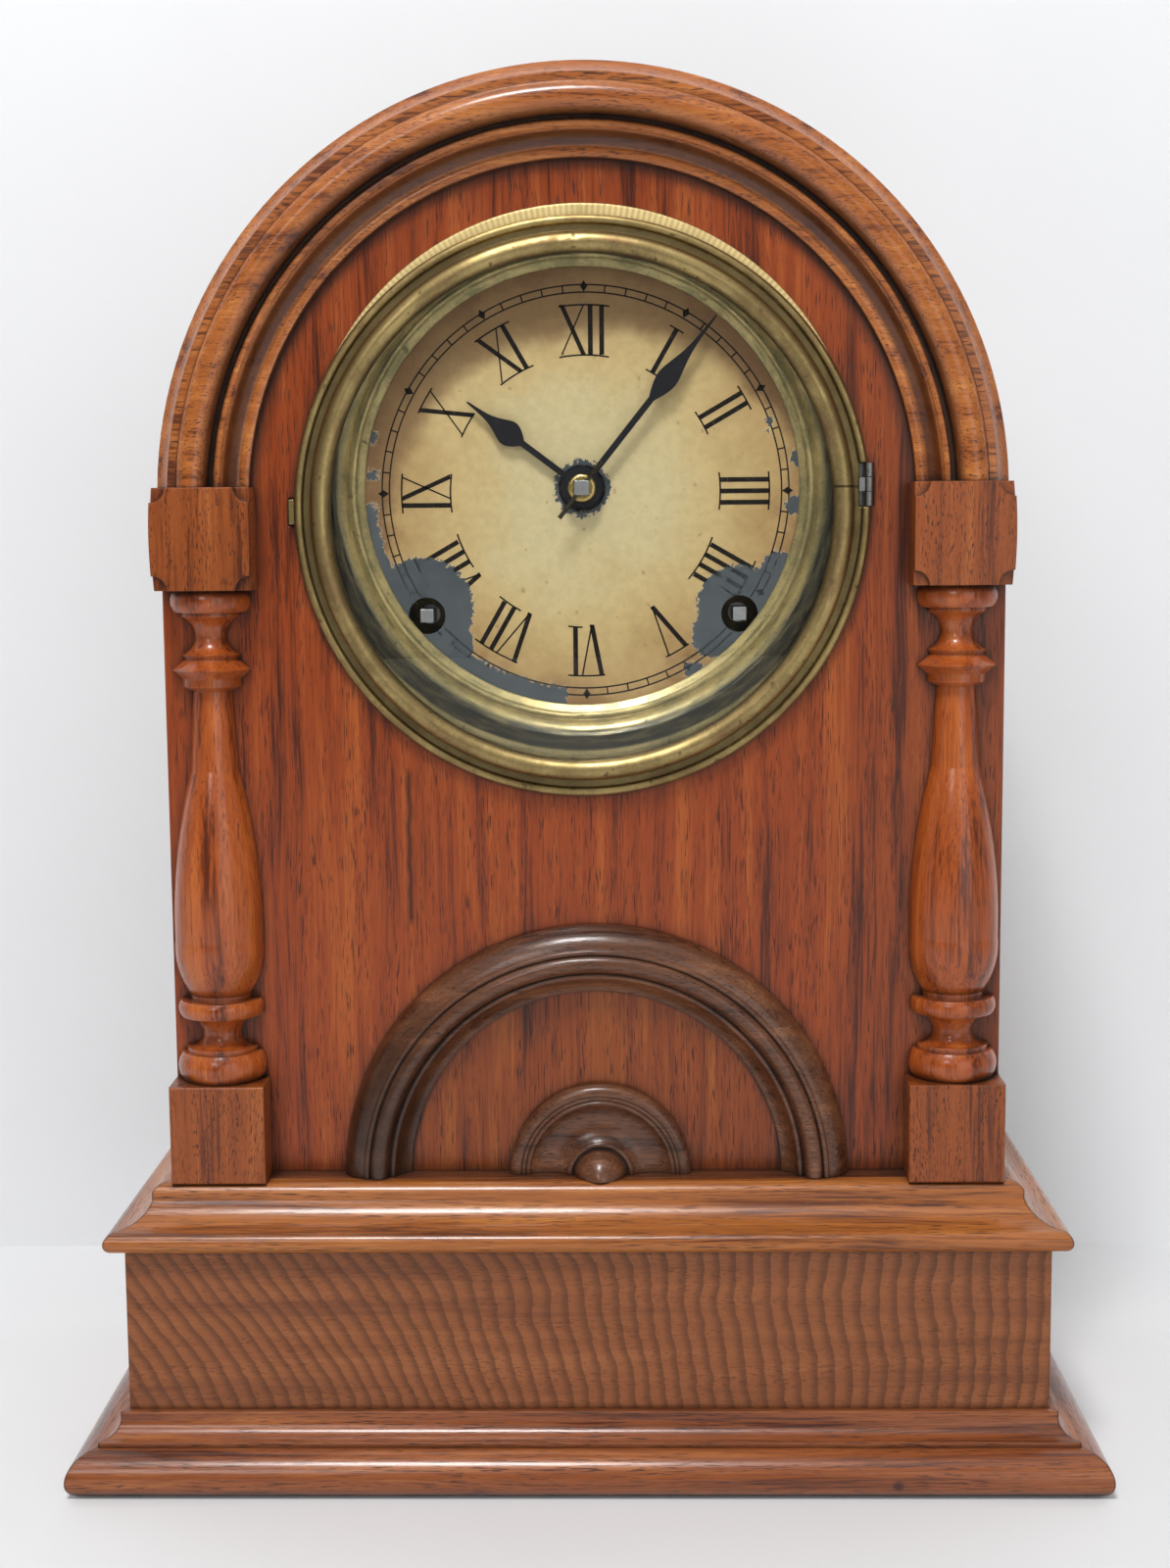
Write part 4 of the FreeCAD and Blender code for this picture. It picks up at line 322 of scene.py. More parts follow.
def grainPlace(tree, grain):
    place = objectPlace(tree)
    x, y, z = split(tree, place)
    if grain == "x":
        return place
    if grain == "y":
        return join(tree, y, x, z)
    if grain == "z":
        return join(tree, z, x, y)
    # along the bent outline of the case, up one side, over the top and down the other
    over = calc(tree, "MAXIMUM", calc(tree, "SUBTRACT", z, archCentre.z), 0.0)
    turn = calc(tree, "ARCTAN2", over, calc(tree, "ABSOLUTE", x))
    climb = calc(tree, "MULTIPLY_ADD", turn, shellRadius, calc(tree, "MINIMUM", z, archCentre.z))
    half = archCentre.z + shellRadius * math.pi / 2
    rest = calc(tree, "MULTIPLY", calc(tree, "SUBTRACT", half, climb), calc(tree, "SIGN", x))
    return join(tree, rest, y, 0.0)


def woodFinish(name, look, marks=None):
    material, tree, shader = newMaterial(name)
    place = objectPlace(tree)
    figure = useGroup(tree, woodFigure, {
        "Vector": grainPlace(tree, look["grain"]), "Dark": look["dark"], "Base": look["base"], "Light": look["light"],
        "Fibre": look.get("fibre", 1.0), "Pores": look.get("pores", 0.6), "Short": look.get("short", 1.0),
        "Seed": look["seed"],
    })
    colour = figure["Color"]
    height = figure["Height"]
    if marks:
        colour, height = marks(tree, place, colour, height)
    edge = useGroup(tree, rubbedEdge, {"Width": look.get("edge", 0.0008)})
    colour = mixColour(tree, calc(tree, "MULTIPLY", edge["Mask"], look.get("rub", 0.35)), colour, look["light"])
    # painted shade in corners and between parts, mixed with old polish and dirt
    shadedAndSoiled = useGroup(tree, cornerShadeAndDirt, {"Vector": place, "Color": colour, "Reach": look.get("reach", 0.004),
                                        "Amount": look.get("shadeAndDirt", 0.85)})
    wire(tree, shader["Base Color"], shadedAndSoiled["Color"])
    rough = calc(tree, "MULTIPLY_ADD", shadedAndSoiled["Mask"], 0.25, figure["Roughness"])
    wire(tree, shader["Roughness"], rough)
    bump = addNode(tree, "ShaderNodeBump", {"Strength": look.get("bump", 0.22), "Distance": 0.0002, "Height": height,
                                            "Normal": edge["Normal"]})
    wire(tree, shader["Normal"], bump.outputs[0])
    shader["Coat Weight"].default_value = look.get("polish", 0.2)
    shader["Coat Roughness"].default_value = 0.18
    shader["Specular IOR Level"].default_value = 0.25
    return material


panelLook = {"grain": "z", "dark": (0.06, 0.011, 0.004), "base": (0.252, 0.044, 0.0068), "light": (0.35, 0.08, 0.0125),
             "pores": 0.8, "seed": 1.3, "reach": 0.009, "shadeAndDirt": 0.95, "rub": 0.2,
             "splits": ((-20.4, 383.0, 401.0, 0.35), (44.0, 372.0, 390.0, 0.35), (-53.5, 167.0, 217.0, 1.3)),
             "brownSide": (60.0, 120.0), "fieldCentre": (2.9, 90.1), "fieldEdge": (64.0, 56.0),
             "lipEdge": (94.5, 99.5), "lipHeight": (290.0, 310.0)}


def panelMarks(tree, place, colour, height):
    for across, low, high, width in panelLook["splits"]:
        mask = useGroup(tree, splitLine, {"Vector": place, "Across": across * mm, "Low": low * mm, "High": high * mm,
                                          "Width": width * mm})["Mask"]
        colour = mixColour(tree, calc(tree, "MULTIPLY", mask, 0.85), colour, (0.012, 0.005, 0.003))
        height = calc(tree, "SUBTRACT", height, mask)
    x, y, z = split(tree, place)
    # the right side and the field inside the half ring are browner
    browner = edgeMask(tree, x, panelLook["brownSide"], 0.0, 0.5)
    fromField = away(tree, x, z, *inMetres(panelLook["fieldCentre"]))
    inside = edgeMask(tree, fromField, panelLook["fieldEdge"], 0.0, 0.6)
    browner = calc(tree, "MAXIMUM", browner, inside)
    # painted shade under the lip of the arch, with old polish gathered there
    near = edgeMask(tree, away(tree, x, z, 0.0, archCentre.z), panelLook["lipEdge"])
    lipShade = calc(tree, "MULTIPLY", near, edgeMask(tree, z, panelLook["lipHeight"]))
    colour = mixColour(tree, calc(tree, "MULTIPLY", lipShade, 0.75), colour, (0.02, 0.007, 0.003))
    colour = mixColour(tree, browner, colour, mixColour(tree, 1.0, colour, (0.75, 1.05, 1.35), "MULTIPLY"))
    return colour, height


dress(woodFinish("panelVeneer", panelLook, panelMarks), "front_panel")

archLook = {"grain": "x", "dark": (0.11, 0.024, 0.007), "base": (0.36, 0.104, 0.02), "light": (0.5, 0.175, 0.038),
            "pores": 0.8, "short": 2.2, "seed": 2.1, "reach": 0.0045, "shadeAndDirt": 0.9, "polish": 0.5,
            "coveShade": (102.2, 103.6, 107.5, 106.2), "groove": (108.8, 110.0, 113.6, 110.8),
            "flat": (119.8, 120.3, 122.9, 122.4), "dashes": (110.0, 0.0, 900.0)}


def archMarks(tree, place, colour, height):
    # painted shade darkens the cove and the groove beside the big round, and dashes run over the flat
    x, y, z = split(tree, place)
    out = away(tree, x, z, archCentre.x, archCentre.z)
    coveShade = calc(tree, "MULTIPLY", bandMask(tree, out, archLook["coveShade"]), 0.8)
    groove = calc(tree, "MULTIPLY", bandMask(tree, out, archLook["groove"]), 0.85)
    dashes = remap(tree, noise(tree, stretch(tree, place, archLook["dashes"]), 2.0), 0.52, 0.62)
    dashes = calc(tree, "MULTIPLY", dashes, bandMask(tree, out, archLook["flat"]))
    dark = calc(tree, "MAXIMUM", calc(tree, "MAXIMUM", coveShade, groove), calc(tree, "MULTIPLY", dashes, 0.75))
    return mixColour(tree, dark, colour, (0.045, 0.012, 0.005)), height


dress(woodFinish("archWalnut", archLook, archMarks), "arch_moulding")

blockLook = {"grain": "z", "dark": (0.08, 0.018, 0.006), "base": (0.26, 0.062, 0.012), "light": (0.35, 0.1, 0.022),
             "pores": 0.9, "short": 3.0, "seed": 3.7, "reach": 0.004, "shadeAndDirt": 0.9}
dress(woodFinish("blockWalnut", blockLook), "cap_block_left", "cap_block_right", "plinth_block_left",
      "plinth_block_right")

columnLook = {"grain": "z", "dark": (0.1, 0.018, 0.005), "base": (0.34, 0.07, 0.011), "light": (0.45, 0.115, 0.022),
              "pores": 0.6, "seed": 4.4, "reach": 0.005, "shadeAndDirt": 0.95, "polish": 0.5}
dress(woodFinish("columnWalnut", columnLook), "half_column_left", "half_column_right")

lunetteLook = {"grain": "x", "dark": (0.04, 0.013, 0.006), "base": (0.112, 0.042, 0.019), "light": (0.2, 0.078, 0.034),
               "pores": 0.8, "short": 1.6, "seed": 5.2, "reach": 0.0045, "shadeAndDirt": 0.95, "polish": 0.4,
               "smokeAcross": (-30.0, -56.0), "smokeHeight": (148.0, 118.0)}


def smokeMarks(tree, place, colour, height):
    # the left leg of the half ring has gone nearly black
    x, y, z = split(tree, place)
    cloud = noise(tree, stretch(tree, place, 60.0), 3.0)
    side = calc(tree, "MULTIPLY_ADD", calc(tree, "SUBTRACT", cloud, 0.5), 0.03, x)
    low = edgeMask(tree, z, lunetteLook["smokeHeight"])
    smoke = calc(tree, "MULTIPLY", edgeMask(tree, side, lunetteLook["smokeAcross"]), low)
    return mixColour(tree, calc(tree, "MULTIPLY", smoke, 0.7), colour, (0.02, 0.009, 0.005)), height


dress(woodFinish("lunetteWalnut", lunetteLook, smokeMarks), "lunette_moulding", "half_rosette")

mitreLook = {"across": 140.2, "front": 58.2}


def mitreMarks(tree, place, colour, height):
    # a thin dark line where the front strip and the return meet at 45 degrees
    x, y, z = split(tree, place)
    sideways = calc(tree, "SUBTRACT", calc(tree, "ABSOLUTE", x), mitreLook["across"] * mm)
    off = calc(tree, "ADD", sideways, calc(tree, "ADD", y, mitreLook["front"] * mm))
    line = remap(tree, calc(tree, "ABSOLUTE", off), 0.0005, 0.0001)
    colour = mixColour(tree, calc(tree, "MULTIPLY", line, 0.85), colour, (0.02, 0.008, 0.004))
    return colour, calc(tree, "SUBTRACT", height, line)


surbaseLook = {"grain": "x", "dark": (0.1, 0.023, 0.006), "base": (0.36, 0.112, 0.022), "light": (0.5, 0.19, 0.042),
               "pores": 0.8, "seed": 6.6, "reach": 0.004, "shadeAndDirt": 0.9, "polish": 0.5, "bump": 0.35}
dress(woodFinish("surbaseWalnut", surbaseLook, mitreMarks), "surbase_front")
dress(woodFinish("surbaseReturnWalnut", dict(surbaseLook, grain="y", seed=6.9), mitreMarks), "surbase_returns")

footLook = {"grain": "x", "dark": (0.065, 0.014, 0.005), "base": (0.255, 0.07, 0.019), "light": (0.38, 0.125, 0.034),
            "pores": 0.8, "seed": 7.5, "reach": 0.0035, "shadeAndDirt": 0.95, "polish": 0.5, "bump": 0.35,
            "knots": ((92.6, 4.6, 2.4),)}


def footMarks(tree, place, colour, height):
    colour, height = mitreMarks(tree, place, colour, height)
    x, y, z = split(tree, place)
    for across, up, size in footLook["knots"]:
        spread = remap(tree, away(tree, x, z, across * mm, up * mm), size * mm, size * mm * 0.3)
        colour = mixColour(tree, calc(tree, "MULTIPLY", spread, 0.8), colour, (0.03, 0.01, 0.006))
    return colour, height


dress(woodFinish("footWalnut", footLook, footMarks), "foot_front", "ogee_front")
dress(woodFinish("footReturnWalnut", dict(footLook, grain="y", seed=7.9), mitreMarks), "foot_returns", "ogee_returns")

friezeLook = {"grain": "x", "dark": (0.19, 0.058, 0.019), "base": (0.255, 0.082, 0.025), "light": (0.31, 0.106, 0.036),
              "pores": 0.6, "short": 3.0, "fibre": 0.7, "seed": 8.8, "reach": 0.005, "shadeAndDirt": 0.85, "polish": 0.2,
              "linePitch": 5.2, "lineDepth": 0.8, "leanAcross": (-150.0, 100.0), "lean": (0.62, 0.04),
              "middle": 45.0, "bow": 7.0}


def friezeMarks(tree, place, colour, height):
    # cut across the rings: wavy dark lines that lean less and less towards the right
    x, y, z = split(tree, place)
    lean = edgeMask(tree, x, friezeLook["leanAcross"], *friezeLook["lean"])
    up = calc(tree, "SUBTRACT", z, friezeLook["middle"] * mm)
    bow = calc(tree, "MULTIPLY_ADD", calc(tree, "MULTIPLY", up, up), friezeLook["bow"], up)
    along = calc(tree, "MULTIPLY_ADD", bow, lean, x)
    broad = noise(tree, stretch(tree, join(tree, along, 0.0, z), (11.0, 0.0, 22.0)), 1.0)
    close = noise(tree, stretch(tree, join(tree, along, 3.0, z), (60.0, 1.0, 170.0)), 2.0)
    count = calc(tree, "DIVIDE", along, friezeLook["linePitch"] * mm)
    count = calc(tree, "MULTIPLY_ADD", broad, 3.0, count)
    count = calc(tree, "MULTIPLY_ADD", close, 0.5, count)
    saw = calc(tree, "FRACT", count)
    line = calc(tree, "MULTIPLY", remap(tree, saw, 0.3, 0.86), remap(tree, saw, 1.0, 0.93))
    weight = remap(tree, noise(tree, join(tree, calc(tree, "FLOOR", count), 0.0, 0.0), 0.0), 0.3, 0.7, 0.45, 1.0)
    line = calc(tree, "MULTIPLY", line, weight)
    colour = mixColour(tree, calc(tree, "MULTIPLY", line, friezeLook["lineDepth"]), colour, (0.07, 0.022, 0.008))
    return colour, height


dress(woodFinish("friezeWalnut", friezeLook, friezeMarks), "frieze_front")
sideLook = dict(friezeLook, grain="y", seed=9.1)
dress(woodFinish("friezeSideWalnut", sideLook), "frieze_sides")

deckLook = {"grain": "x", "dark": (0.05, 0.013, 0.005), "base": (0.15, 0.045, 0.017), "light": (0.22, 0.07, 0.026),
            "pores": 0.6, "seed": 9.9, "reach": 0.012, "shadeAndDirt": 0.95}
dress(woodFinish("deckWalnut", deckLook), "base_deck")

shellLook = {"grain": "shell", "dark": (0.06, 0.015, 0.006), "base": (0.2, 0.055, 0.018), "light": (0.29, 0.09, 0.03),
             "pores": 0.75, "seed": 10.7, "reach": 0.005, "shadeAndDirt": 0.85, "polish": 0.35}
dress(woodFinish("shellVeneer", shellLook), "case_shell")

pineLook = {"grain": "z", "dark": (0.22, 0.11, 0.045), "base": (0.43, 0.25, 0.115), "light": (0.52, 0.33, 0.17),
            "pores": 0.25, "fibre": 1.4, "seed": 12.2, "reach": 0.006, "shadeAndDirt": 0.55, "polish": 0.0, "bump": 0.4}


def sawMarks(tree, place, colour, height):
    # faint saw lines across the board, and a soft darkening by age
    x, y, z = split(tree, place)
    rows = calc(tree, "SINE", calc(tree, "MULTIPLY_ADD", z, 2400.0, calc(tree, "MULTIPLY", x, 60.0)))
    broken = remap(tree, noise(tree, stretch(tree, place, (25.0, 25.0, 60.0)), 2.0), 0.45, 0.65)
    height = calc(tree, "MULTIPLY_ADD", calc(tree, "MULTIPLY", rows, broken), 0.3, height)
    age = remap(tree, noise(tree, stretch(tree, place, 14.0), 4.0), 0.35, 0.7, 0.0, 0.55)
    return mixColour(tree, age, colour, (0.24, 0.125, 0.055)), height


pine = woodFinish("pineBoard", pineLook, sawMarks)
dress(pine, "back_board", "back_door")
dress(woodFinish("pineBase", dict(pineLook, grain="x", seed=13.4), sawMarks), "base_back", "gong_block")
print("wood finished")


def metalFinish(name, look, marks=None):
    material, tree, shader = newMaterial(name)
    place = objectPlace(tree)
    aged = useGroup(tree, tarnish, {"Vector": place, "Bright": look["bright"], "Dull": look["dull"],
                                    "Spots": look["spots"], "Amount": look.get("amount", 0.6), "Seed": look["seed"]})
    colour = aged["Color"]
    height = aged["Height"]
    if marks:
        colour, height = marks(tree, place, colour, height)
    # painted shade in hollows and between parts, mixed with dirt
    if look.get("shadeAndDirt"):
        shadedAndSoiled = useGroup(tree, cornerShadeAndDirt, {"Vector": place, "Color": colour, "DirtAndShade": look["spots"],
                                            "Reach": look.get("reach", 0.003), "Amount": look["shadeAndDirt"]})
        colour = shadedAndSoiled["Color"]
    wire(tree, shader["Base Color"], colour)
    wire(tree, shader["Roughness"], calc(tree, "ADD", aged["Roughness"], look.get("rough", 0.0)))
    shader["Metallic"].default_value = look.get("metallic", 1.0)
    shader["Specular IOR Level"].default_value = look.get("specular", 0.5)
    edge = useGroup(tree, rubbedEdge, {"Width": look.get("edge", 0.0003)})
    bump = addNode(tree, "ShaderNodeBump", {"Strength": look.get("bump", 0.12), "Distance": 0.0001, "Height": height,
                                            "Normal": edge["Normal"]})
    wire(tree, shader["Normal"], bump.outputs[0])
    return material


bezelLook = {"bright": (0.4, 0.3, 0.125), "dull": (0.2, 0.142, 0.06), "spots": (0.06, 0.042, 0.02), "amount": 0.9,
             "seed": 0.4, "shadeAndDirt": 0.4, "reach": 0.002, "rough": 0.1, "edge": 0.0009,
             "groove": (80.8, 81.6, 83.9, 83.1), "inner": (76.2, 74.5), "seamHeight": 300.2, "seamAcross": (73.5, 75.0)}


def spunMarks(tree, place, colour, height):
    # lines left by spinning, running round the ring, with brown streaks along them and one soldered seam
    x, y, z = split(tree, place)
    out = away(tree, x, z, bezelCentre.x, bezelCentre.z)
    turn = calc(tree, "ARCTAN2", calc(tree, "SUBTRACT", z, bezelCentre.z), calc(tree, "ABSOLUTE", x))
    spot = join(tree, out, turn, y)
    lines = noise(tree, stretch(tree, spot, (2600.0, 2.0, 2600.0)), 2.0)
    streaks = noise(tree, stretch(tree, spot, (420.0, 5.0, 420.0)), 4.0, 0.6)
    warm = remap(tree, streaks, 0.5, 0.72, 0.0, 0.6)
    colour = mixColour(tree, warm, colour, (0.2, 0.11, 0.055))
    # painted shade in the groove behind the outer bead and on the inner side, with some dirt in the groove
    groove = bandMask(tree, out, bezelLook["groove"])
    inner = edgeMask(tree, out, bezelLook["inner"])
    darkTone = calc(tree, "MAXIMUM", calc(tree, "MULTIPLY", groove, 0.5), calc(tree, "MULTIPLY", inner, 0.8))
    colour = mixColour(tree, darkTone, colour, (0.04, 0.03, 0.018))
    offSeam = calc(tree, "ABSOLUTE", calc(tree, "SUBTRACT", z, bezelLook["seamHeight"] * mm))
    seam = calc(tree, "MULTIPLY", remap(tree, offSeam, 0.0005, 0.0002), edgeMask(tree, x, bezelLook["seamAcross"]))
    colour = mixColour(tree, calc(tree, "MULTIPLY", seam, 0.8), colour, (0.03, 0.02, 0.012))
    return colour, calc(tree, "MULTIPLY_ADD", lines, 0.8, height)


dress(metalFinish("bezelBrass", bezelLook, spunMarks), "bezel_ring")

sightLook = dict(bezelLook, bright=(0.5, 0.4, 0.18), dull=(0.2, 0.17, 0.08), seed=1.7, metallic=0.6, rough=0.04,
                 darkTone=(71.2, 74.0, 79.5, 78.5), flangeHighlight=(78.6, 79.8), flangeHeight=(310.0, 330.0), reeds=300.0)


def sightMarks(tree, place, colour, height):
    # clean at the lip by the paper, painted shade near the bezel makes it nearly black, and a painted highlight in
    # stripes along the reeds lights the upper part of the flange outside it
    x, y, z = split(tree, place)
    out = away(tree, x, z, dialCentre.x, dialCentre.z)
    turn = calc(tree, "ARCTAN2", calc(tree, "SUBTRACT", z, dialCentre.z), calc(tree, "ABSOLUTE", x))
    streaks = noise(tree, stretch(tree, join(tree, out, turn, 0.0), (700.0, 7.0, 0.0)), 4.0, 0.6)
    green = remap(tree, streaks, 0.48, 0.7, 0.0, 0.7)
    colour = mixColour(tree, green, colour, (0.12, 0.125, 0.06))
    # painted shade of the bezel's inner side, nearly black, streaked a little
    darkTone = bandMask(tree, out, sightLook["darkTone"])
    darkTone = calc(tree, "MULTIPLY", darkTone, remap(tree, streaks, 0.3, 0.6, 0.75, 1.0))
    colour = mixColour(tree, darkTone, colour, (0.02, 0.02, 0.015))
    # painted highlight: bright reeded stripes on the upper part of the flange
    high = edgeMask(tree, z, sightLook["flangeHeight"])
    flangeHighlight = calc(tree, "MULTIPLY", edgeMask(tree, out, sightLook["flangeHighlight"]), high)
    reeds = remap(tree, calc(tree, "SINE", calc(tree, "MULTIPLY", turn, sightLook["reeds"])), -1.0, 1.0, 0.6, 0.95)
    colour = mixColour(tree, calc(tree, "MULTIPLY", reeds, flangeHighlight), colour, (0.95, 0.72, 0.32))
    return colour, calc(tree, "MULTIPLY_ADD", streaks, 0.6, height)


dress(metalFinish("sightBrass", sightLook, sightMarks), "sight_ring")
fittingLook = {"bright": (0.5, 0.38, 0.15), "dull": (0.22, 0.16, 0.07), "spots": (0.05, 0.035, 0.02), "amount": 0.8,
               "seed": 2.9, "shadeAndDirt": 0.6}
fittingBrass = metalFinish("fittingBrass", fittingLook)
dress(fittingBrass, "bezel_catch", "back_fixed_hardware", "back_hinge_moving", "turn_button")
movementLook = {"bright": (0.6, 0.45, 0.17), "dull": (0.34, 0.25, 0.1), "spots": (0.1, 0.07, 0.03), "amount": 0.7,
                "seed": 3.6, "shadeAndDirt": 0.4}
movementBrass = metalFinish("movementBrass", movementLook)
# the front plate is painted near-black, standing in for the shade inside the winding holes and the hub hole
shadedPlateLook = dict(movementLook, bright=(0.07, 0.052, 0.024), dull=(0.035, 0.027, 0.014), seed=3.9)
dress(metalFinish("shadedPlateBrass", shadedPlateLook), "front_plate")
dress(movementBrass, "back_plate", "time_great_wheel", "strike_great_wheel", "time_second_wheel",
      "strike_second_wheel", "time_third_wheel", "strike_third_wheel", "escape_wheel", "strike_fly", "hour_wheel",
      "motion_wheel", "pendulum_bob")


colletLook = dict(movementLook, seed=4.6, pinFace=(-35.45, -35.6))


def colletMarks(tree, place, colour, height):
    # the taper pin, the foremost piece of the collet, is dark steel
    x, y, z = split(tree, place)
    pin = edgeMask(tree, y, colletLook["pinFace"])
    return mixColour(tree, pin, colour, (0.035, 0.033, 0.03)), height


dress(metalFinish("colletBrass", colletLook, colletMarks), "hand_collet")
leafLook = {"bright": (0.3, 0.3, 0.29), "dull": (0.13, 0.13, 0.13), "spots": (0.06, 0.05, 0.04), "amount": 0.8,
            "seed": 4.1, "shadeAndDirt": 0.6, "rough": 0.12}
dress(metalFinish("hingeLeaf", leafLook), "bezel_hinge_fixed", "bezel_hinge_moving")
zincLook = {"bright": (0.16, 0.185, 0.21), "dull": (0.1, 0.12, 0.14), "spots": (0.05, 0.055, 0.06), "amount": 0.8,
            "seed": 5.5, "rough": 0.3, "metallic": 0.35}
dress(metalFinish("dialZinc", zincLook), "dial_pan")
steelLook = {"bright": (0.42, 0.43, 0.44), "dull": (0.22, 0.215, 0.21), "spots": (0.12, 0.08, 0.05), "amount": 0.5,
             "seed": 6.3, "rough": 0.05}
dress(metalFinish("arborSteel", steelLook), "centre_arbor", "time_winding_arbor", "strike_winding_arbor", "verge",
      "pendulum_rod", "plate_pillars", "hammer")
springLook = dict(steelLook, bright=(0.12, 0.14, 0.2), dull=(0.07, 0.07, 0.09), seed=7.7)
dress(metalFinish("springSteel", springLook), "mainsprings", "gong")
handLook = {"bright": (0.014, 0.014, 0.017), "dull": (0.008, 0.008, 0.01), "spots": (0.03, 0.02, 0.014), "amount": 0.7,
            "seed": 8.1, "rough": 0.12, "metallic": 0.0, "specular": 0.12}
dress(metalFinish("handSteel", handLook), "hour_hand", "minute_hand")
print("metal finished")


paperLook = {"middle": (0.55, 0.46, 0.25), "stainAndShadow": (0.15, 0.078, 0.032), "specks": (0.25, 0.13, 0.05),
             "rings": (((0.52, 0.385, 0.175), 16.0, 42.0), ((0.42, 0.28, 0.115), 38.0, 60.0),
                       ((0.25, 0.14, 0.055), 56.0, 68.0)),
             "shadeCentre": (6.0, 280.5), "shadeEdge": (63.0, 70.0), "zinc": (0.05, 0.059, 0.067),
             "zincLight": (0.074, 0.085, 0.094)}


def paperFinish():
    material, tree, shader = newMaterial("dialPaper")
    place = objectPlace(tree)
    x, y, z = split(tree, place)
    out = away(tree, x, z, dialCentre.x, dialCentre.z)
    cloud = noise(tree, stretch(tree, place, 45.0), 5.0, 0.6)
    fine = noise(tree, stretch(tree, place, 420.0), 4.0, 0.65)
    wide = calc(tree, "MULTIPLY_ADD", calc(tree, "SUBTRACT", cloud, 0.5), 0.04, out)
    colour = paperLook["middle"]
    for tone, start, end in paperLook["rings"]:
        colour = mixColour(tree, remap(tree, wide, start * mm, end * mm), colour, tone)
    # painted shadow of the bezel at the top of the paper, together with brown age staining there
    under = away(tree, x, z, *inMetres(paperLook["shadeCentre"]))
    under = calc(tree, "MULTIPLY_ADD", calc(tree, "SUBTRACT", cloud, 0.5), 0.01, under)
    shadowAndStain = edgeMask(tree, under, paperLook["shadeEdge"])
    colour = mixColour(tree, calc(tree, "MULTIPLY", shadowAndStain, 0.75), colour, paperLook["stainAndShadow"])
    mottle = remap(tree, fine, 0.35, 0.65, 0.94, 1.04)
    colour = mixColour(tree, 1.0, colour, join(tree, mottle, mottle, mottle), "MULTIPLY")
    fox = remap(tree, noise(tree, stretch(tree, place, 380.0), 1.0), 0.72, 0.79)
    colour = mixColour(tree, calc(tree, "MULTIPLY", fox, 0.45), colour, paperLook["specks"])
    torn = useGroup(tree, paperTear, {"Vector": place})
    colour = mixColour(tree, calc(tree, "MULTIPLY", torn["Fringe"], 0.5), colour, (0.7, 0.58, 0.38))
    bare = mixColour(tree, remap(tree, cloud, 0.35, 0.65), paperLook["zinc"], paperLook["zincLight"])
    colour = mixColour(tree, torn["Mask"], colour, bare)
    wire(tree, shader["Base Color"], colour)
    wire(tree, shader["Roughness"], remap(tree, torn["Mask"], 0.0, 1.0, 0.62, 0.48))
    step = calc(tree, "MULTIPLY_ADD", torn["Mask"], -2.0, fine)
    bump = addNode(tree, "ShaderNodeBump", {"Strength": 0.25, "Distance": 0.0002, "Height": step})
    wire(tree, shader["Normal"], bump.outputs[0])
    shader["Specular IOR Level"].default_value = 0.25
    return material


dress(paperFinish(), "dial_paper")


def inkFinish():
    # printed black, worn thin in specks, missing where the paper is torn away
    material, tree, shader = newMaterial("dialInk")
    place = objectPlace(tree)
    worn = remap(tree, noise(tree, stretch(tree, place, 900.0), 3.0), 0.55, 0.75)
    wire(tree, shader["Base Color"], mixColour(tree, worn, (0.01, 0.008, 0.007), (0.05, 0.032, 0.018)))
    torn = useGroup(tree, paperTear, {"Vector": place})
    wire(tree, shader["Alpha"], calc(tree, "SUBTRACT", 1.0, torn["Mask"]))
    shader["Roughness"].default_value = 0.6
    shader["Specular IOR Level"].default_value = 0.08
    return material


ink = inkFinish()


def glassFinish():
    # old flat glass: clear, with little reflection; light passes to the dial
    material, tree, shader = newMaterial("bezelGlass")
    shader["Base Color"].default_value = (0.97, 0.98, 0.96, 1.0)
    shader["Roughness"].default_value = 0.0
    shader["Transmission Weight"].default_value = 1.0
    shader["IOR"].default_value = 1.45
    shader["Specular IOR Level"].default_value = 0.2
    path = addNode(tree, "ShaderNodeLightPath").outputs
    seeThrough(tree, calc(tree, "MAXIMUM", path["Is Shadow Ray"], path["Is Diffuse Ray"]))
    return material


dress(glassFinish(), "bezel_glass")
print("dial and glass finished")


# new pieces

def addPiece(name, bm, material, body, smooth=False):
    bmesh.ops.remove_doubles(bm, verts=bm.verts, dist=1e-7)
    bmesh.ops.recalc_face_normals(bm, faces=bm.faces)
    mesh = bpy.data.meshes.new(name)
    bm.to_mesh(mesh)
    bm.free()
    for face in mesh.polygons:
        face.use_smooth = smooth
    piece = bpy.data.objects.new(name, mesh)
    bpy.context.collection.objects.link(piece)
    mesh.materials.append(material)
    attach(piece, body)
    return piece


inkLayer = {"face": -29.8 * mm, "thick": 0.03 * mm}


def dialPoint(angle, across, out):
    # across is clockwise along the ring, out is from the middle, both in mm
    turn = math.radians(angle)
    outward = Vector((math.sin(turn), 0.0, math.cos(turn)))
    clockwise = Vector((math.cos(turn), 0.0, -math.sin(turn)))
    return printCentre + Vector((0.0, inkLayer["face"], 0.0)) + (outward * out + clockwise * across) * mm


def inkStroke(bm, angle, foot, head, width):
    low = dialPoint(angle, *foot)
    high = dialPoint(angle, *head)
    side = dialPoint(angle, width, 0.0) - dialPoint(angle, 0.0, 0.0)
    front = Vector((0.0, -inkLayer["thick"], 0.0))
    place = Matrix((high - low, side, front)).transposed().to_4x4()
    place.translation = (low + high) / 2 + front / 2
    bmesh.ops.create_cube(bm, size=1.0, matrix=place)


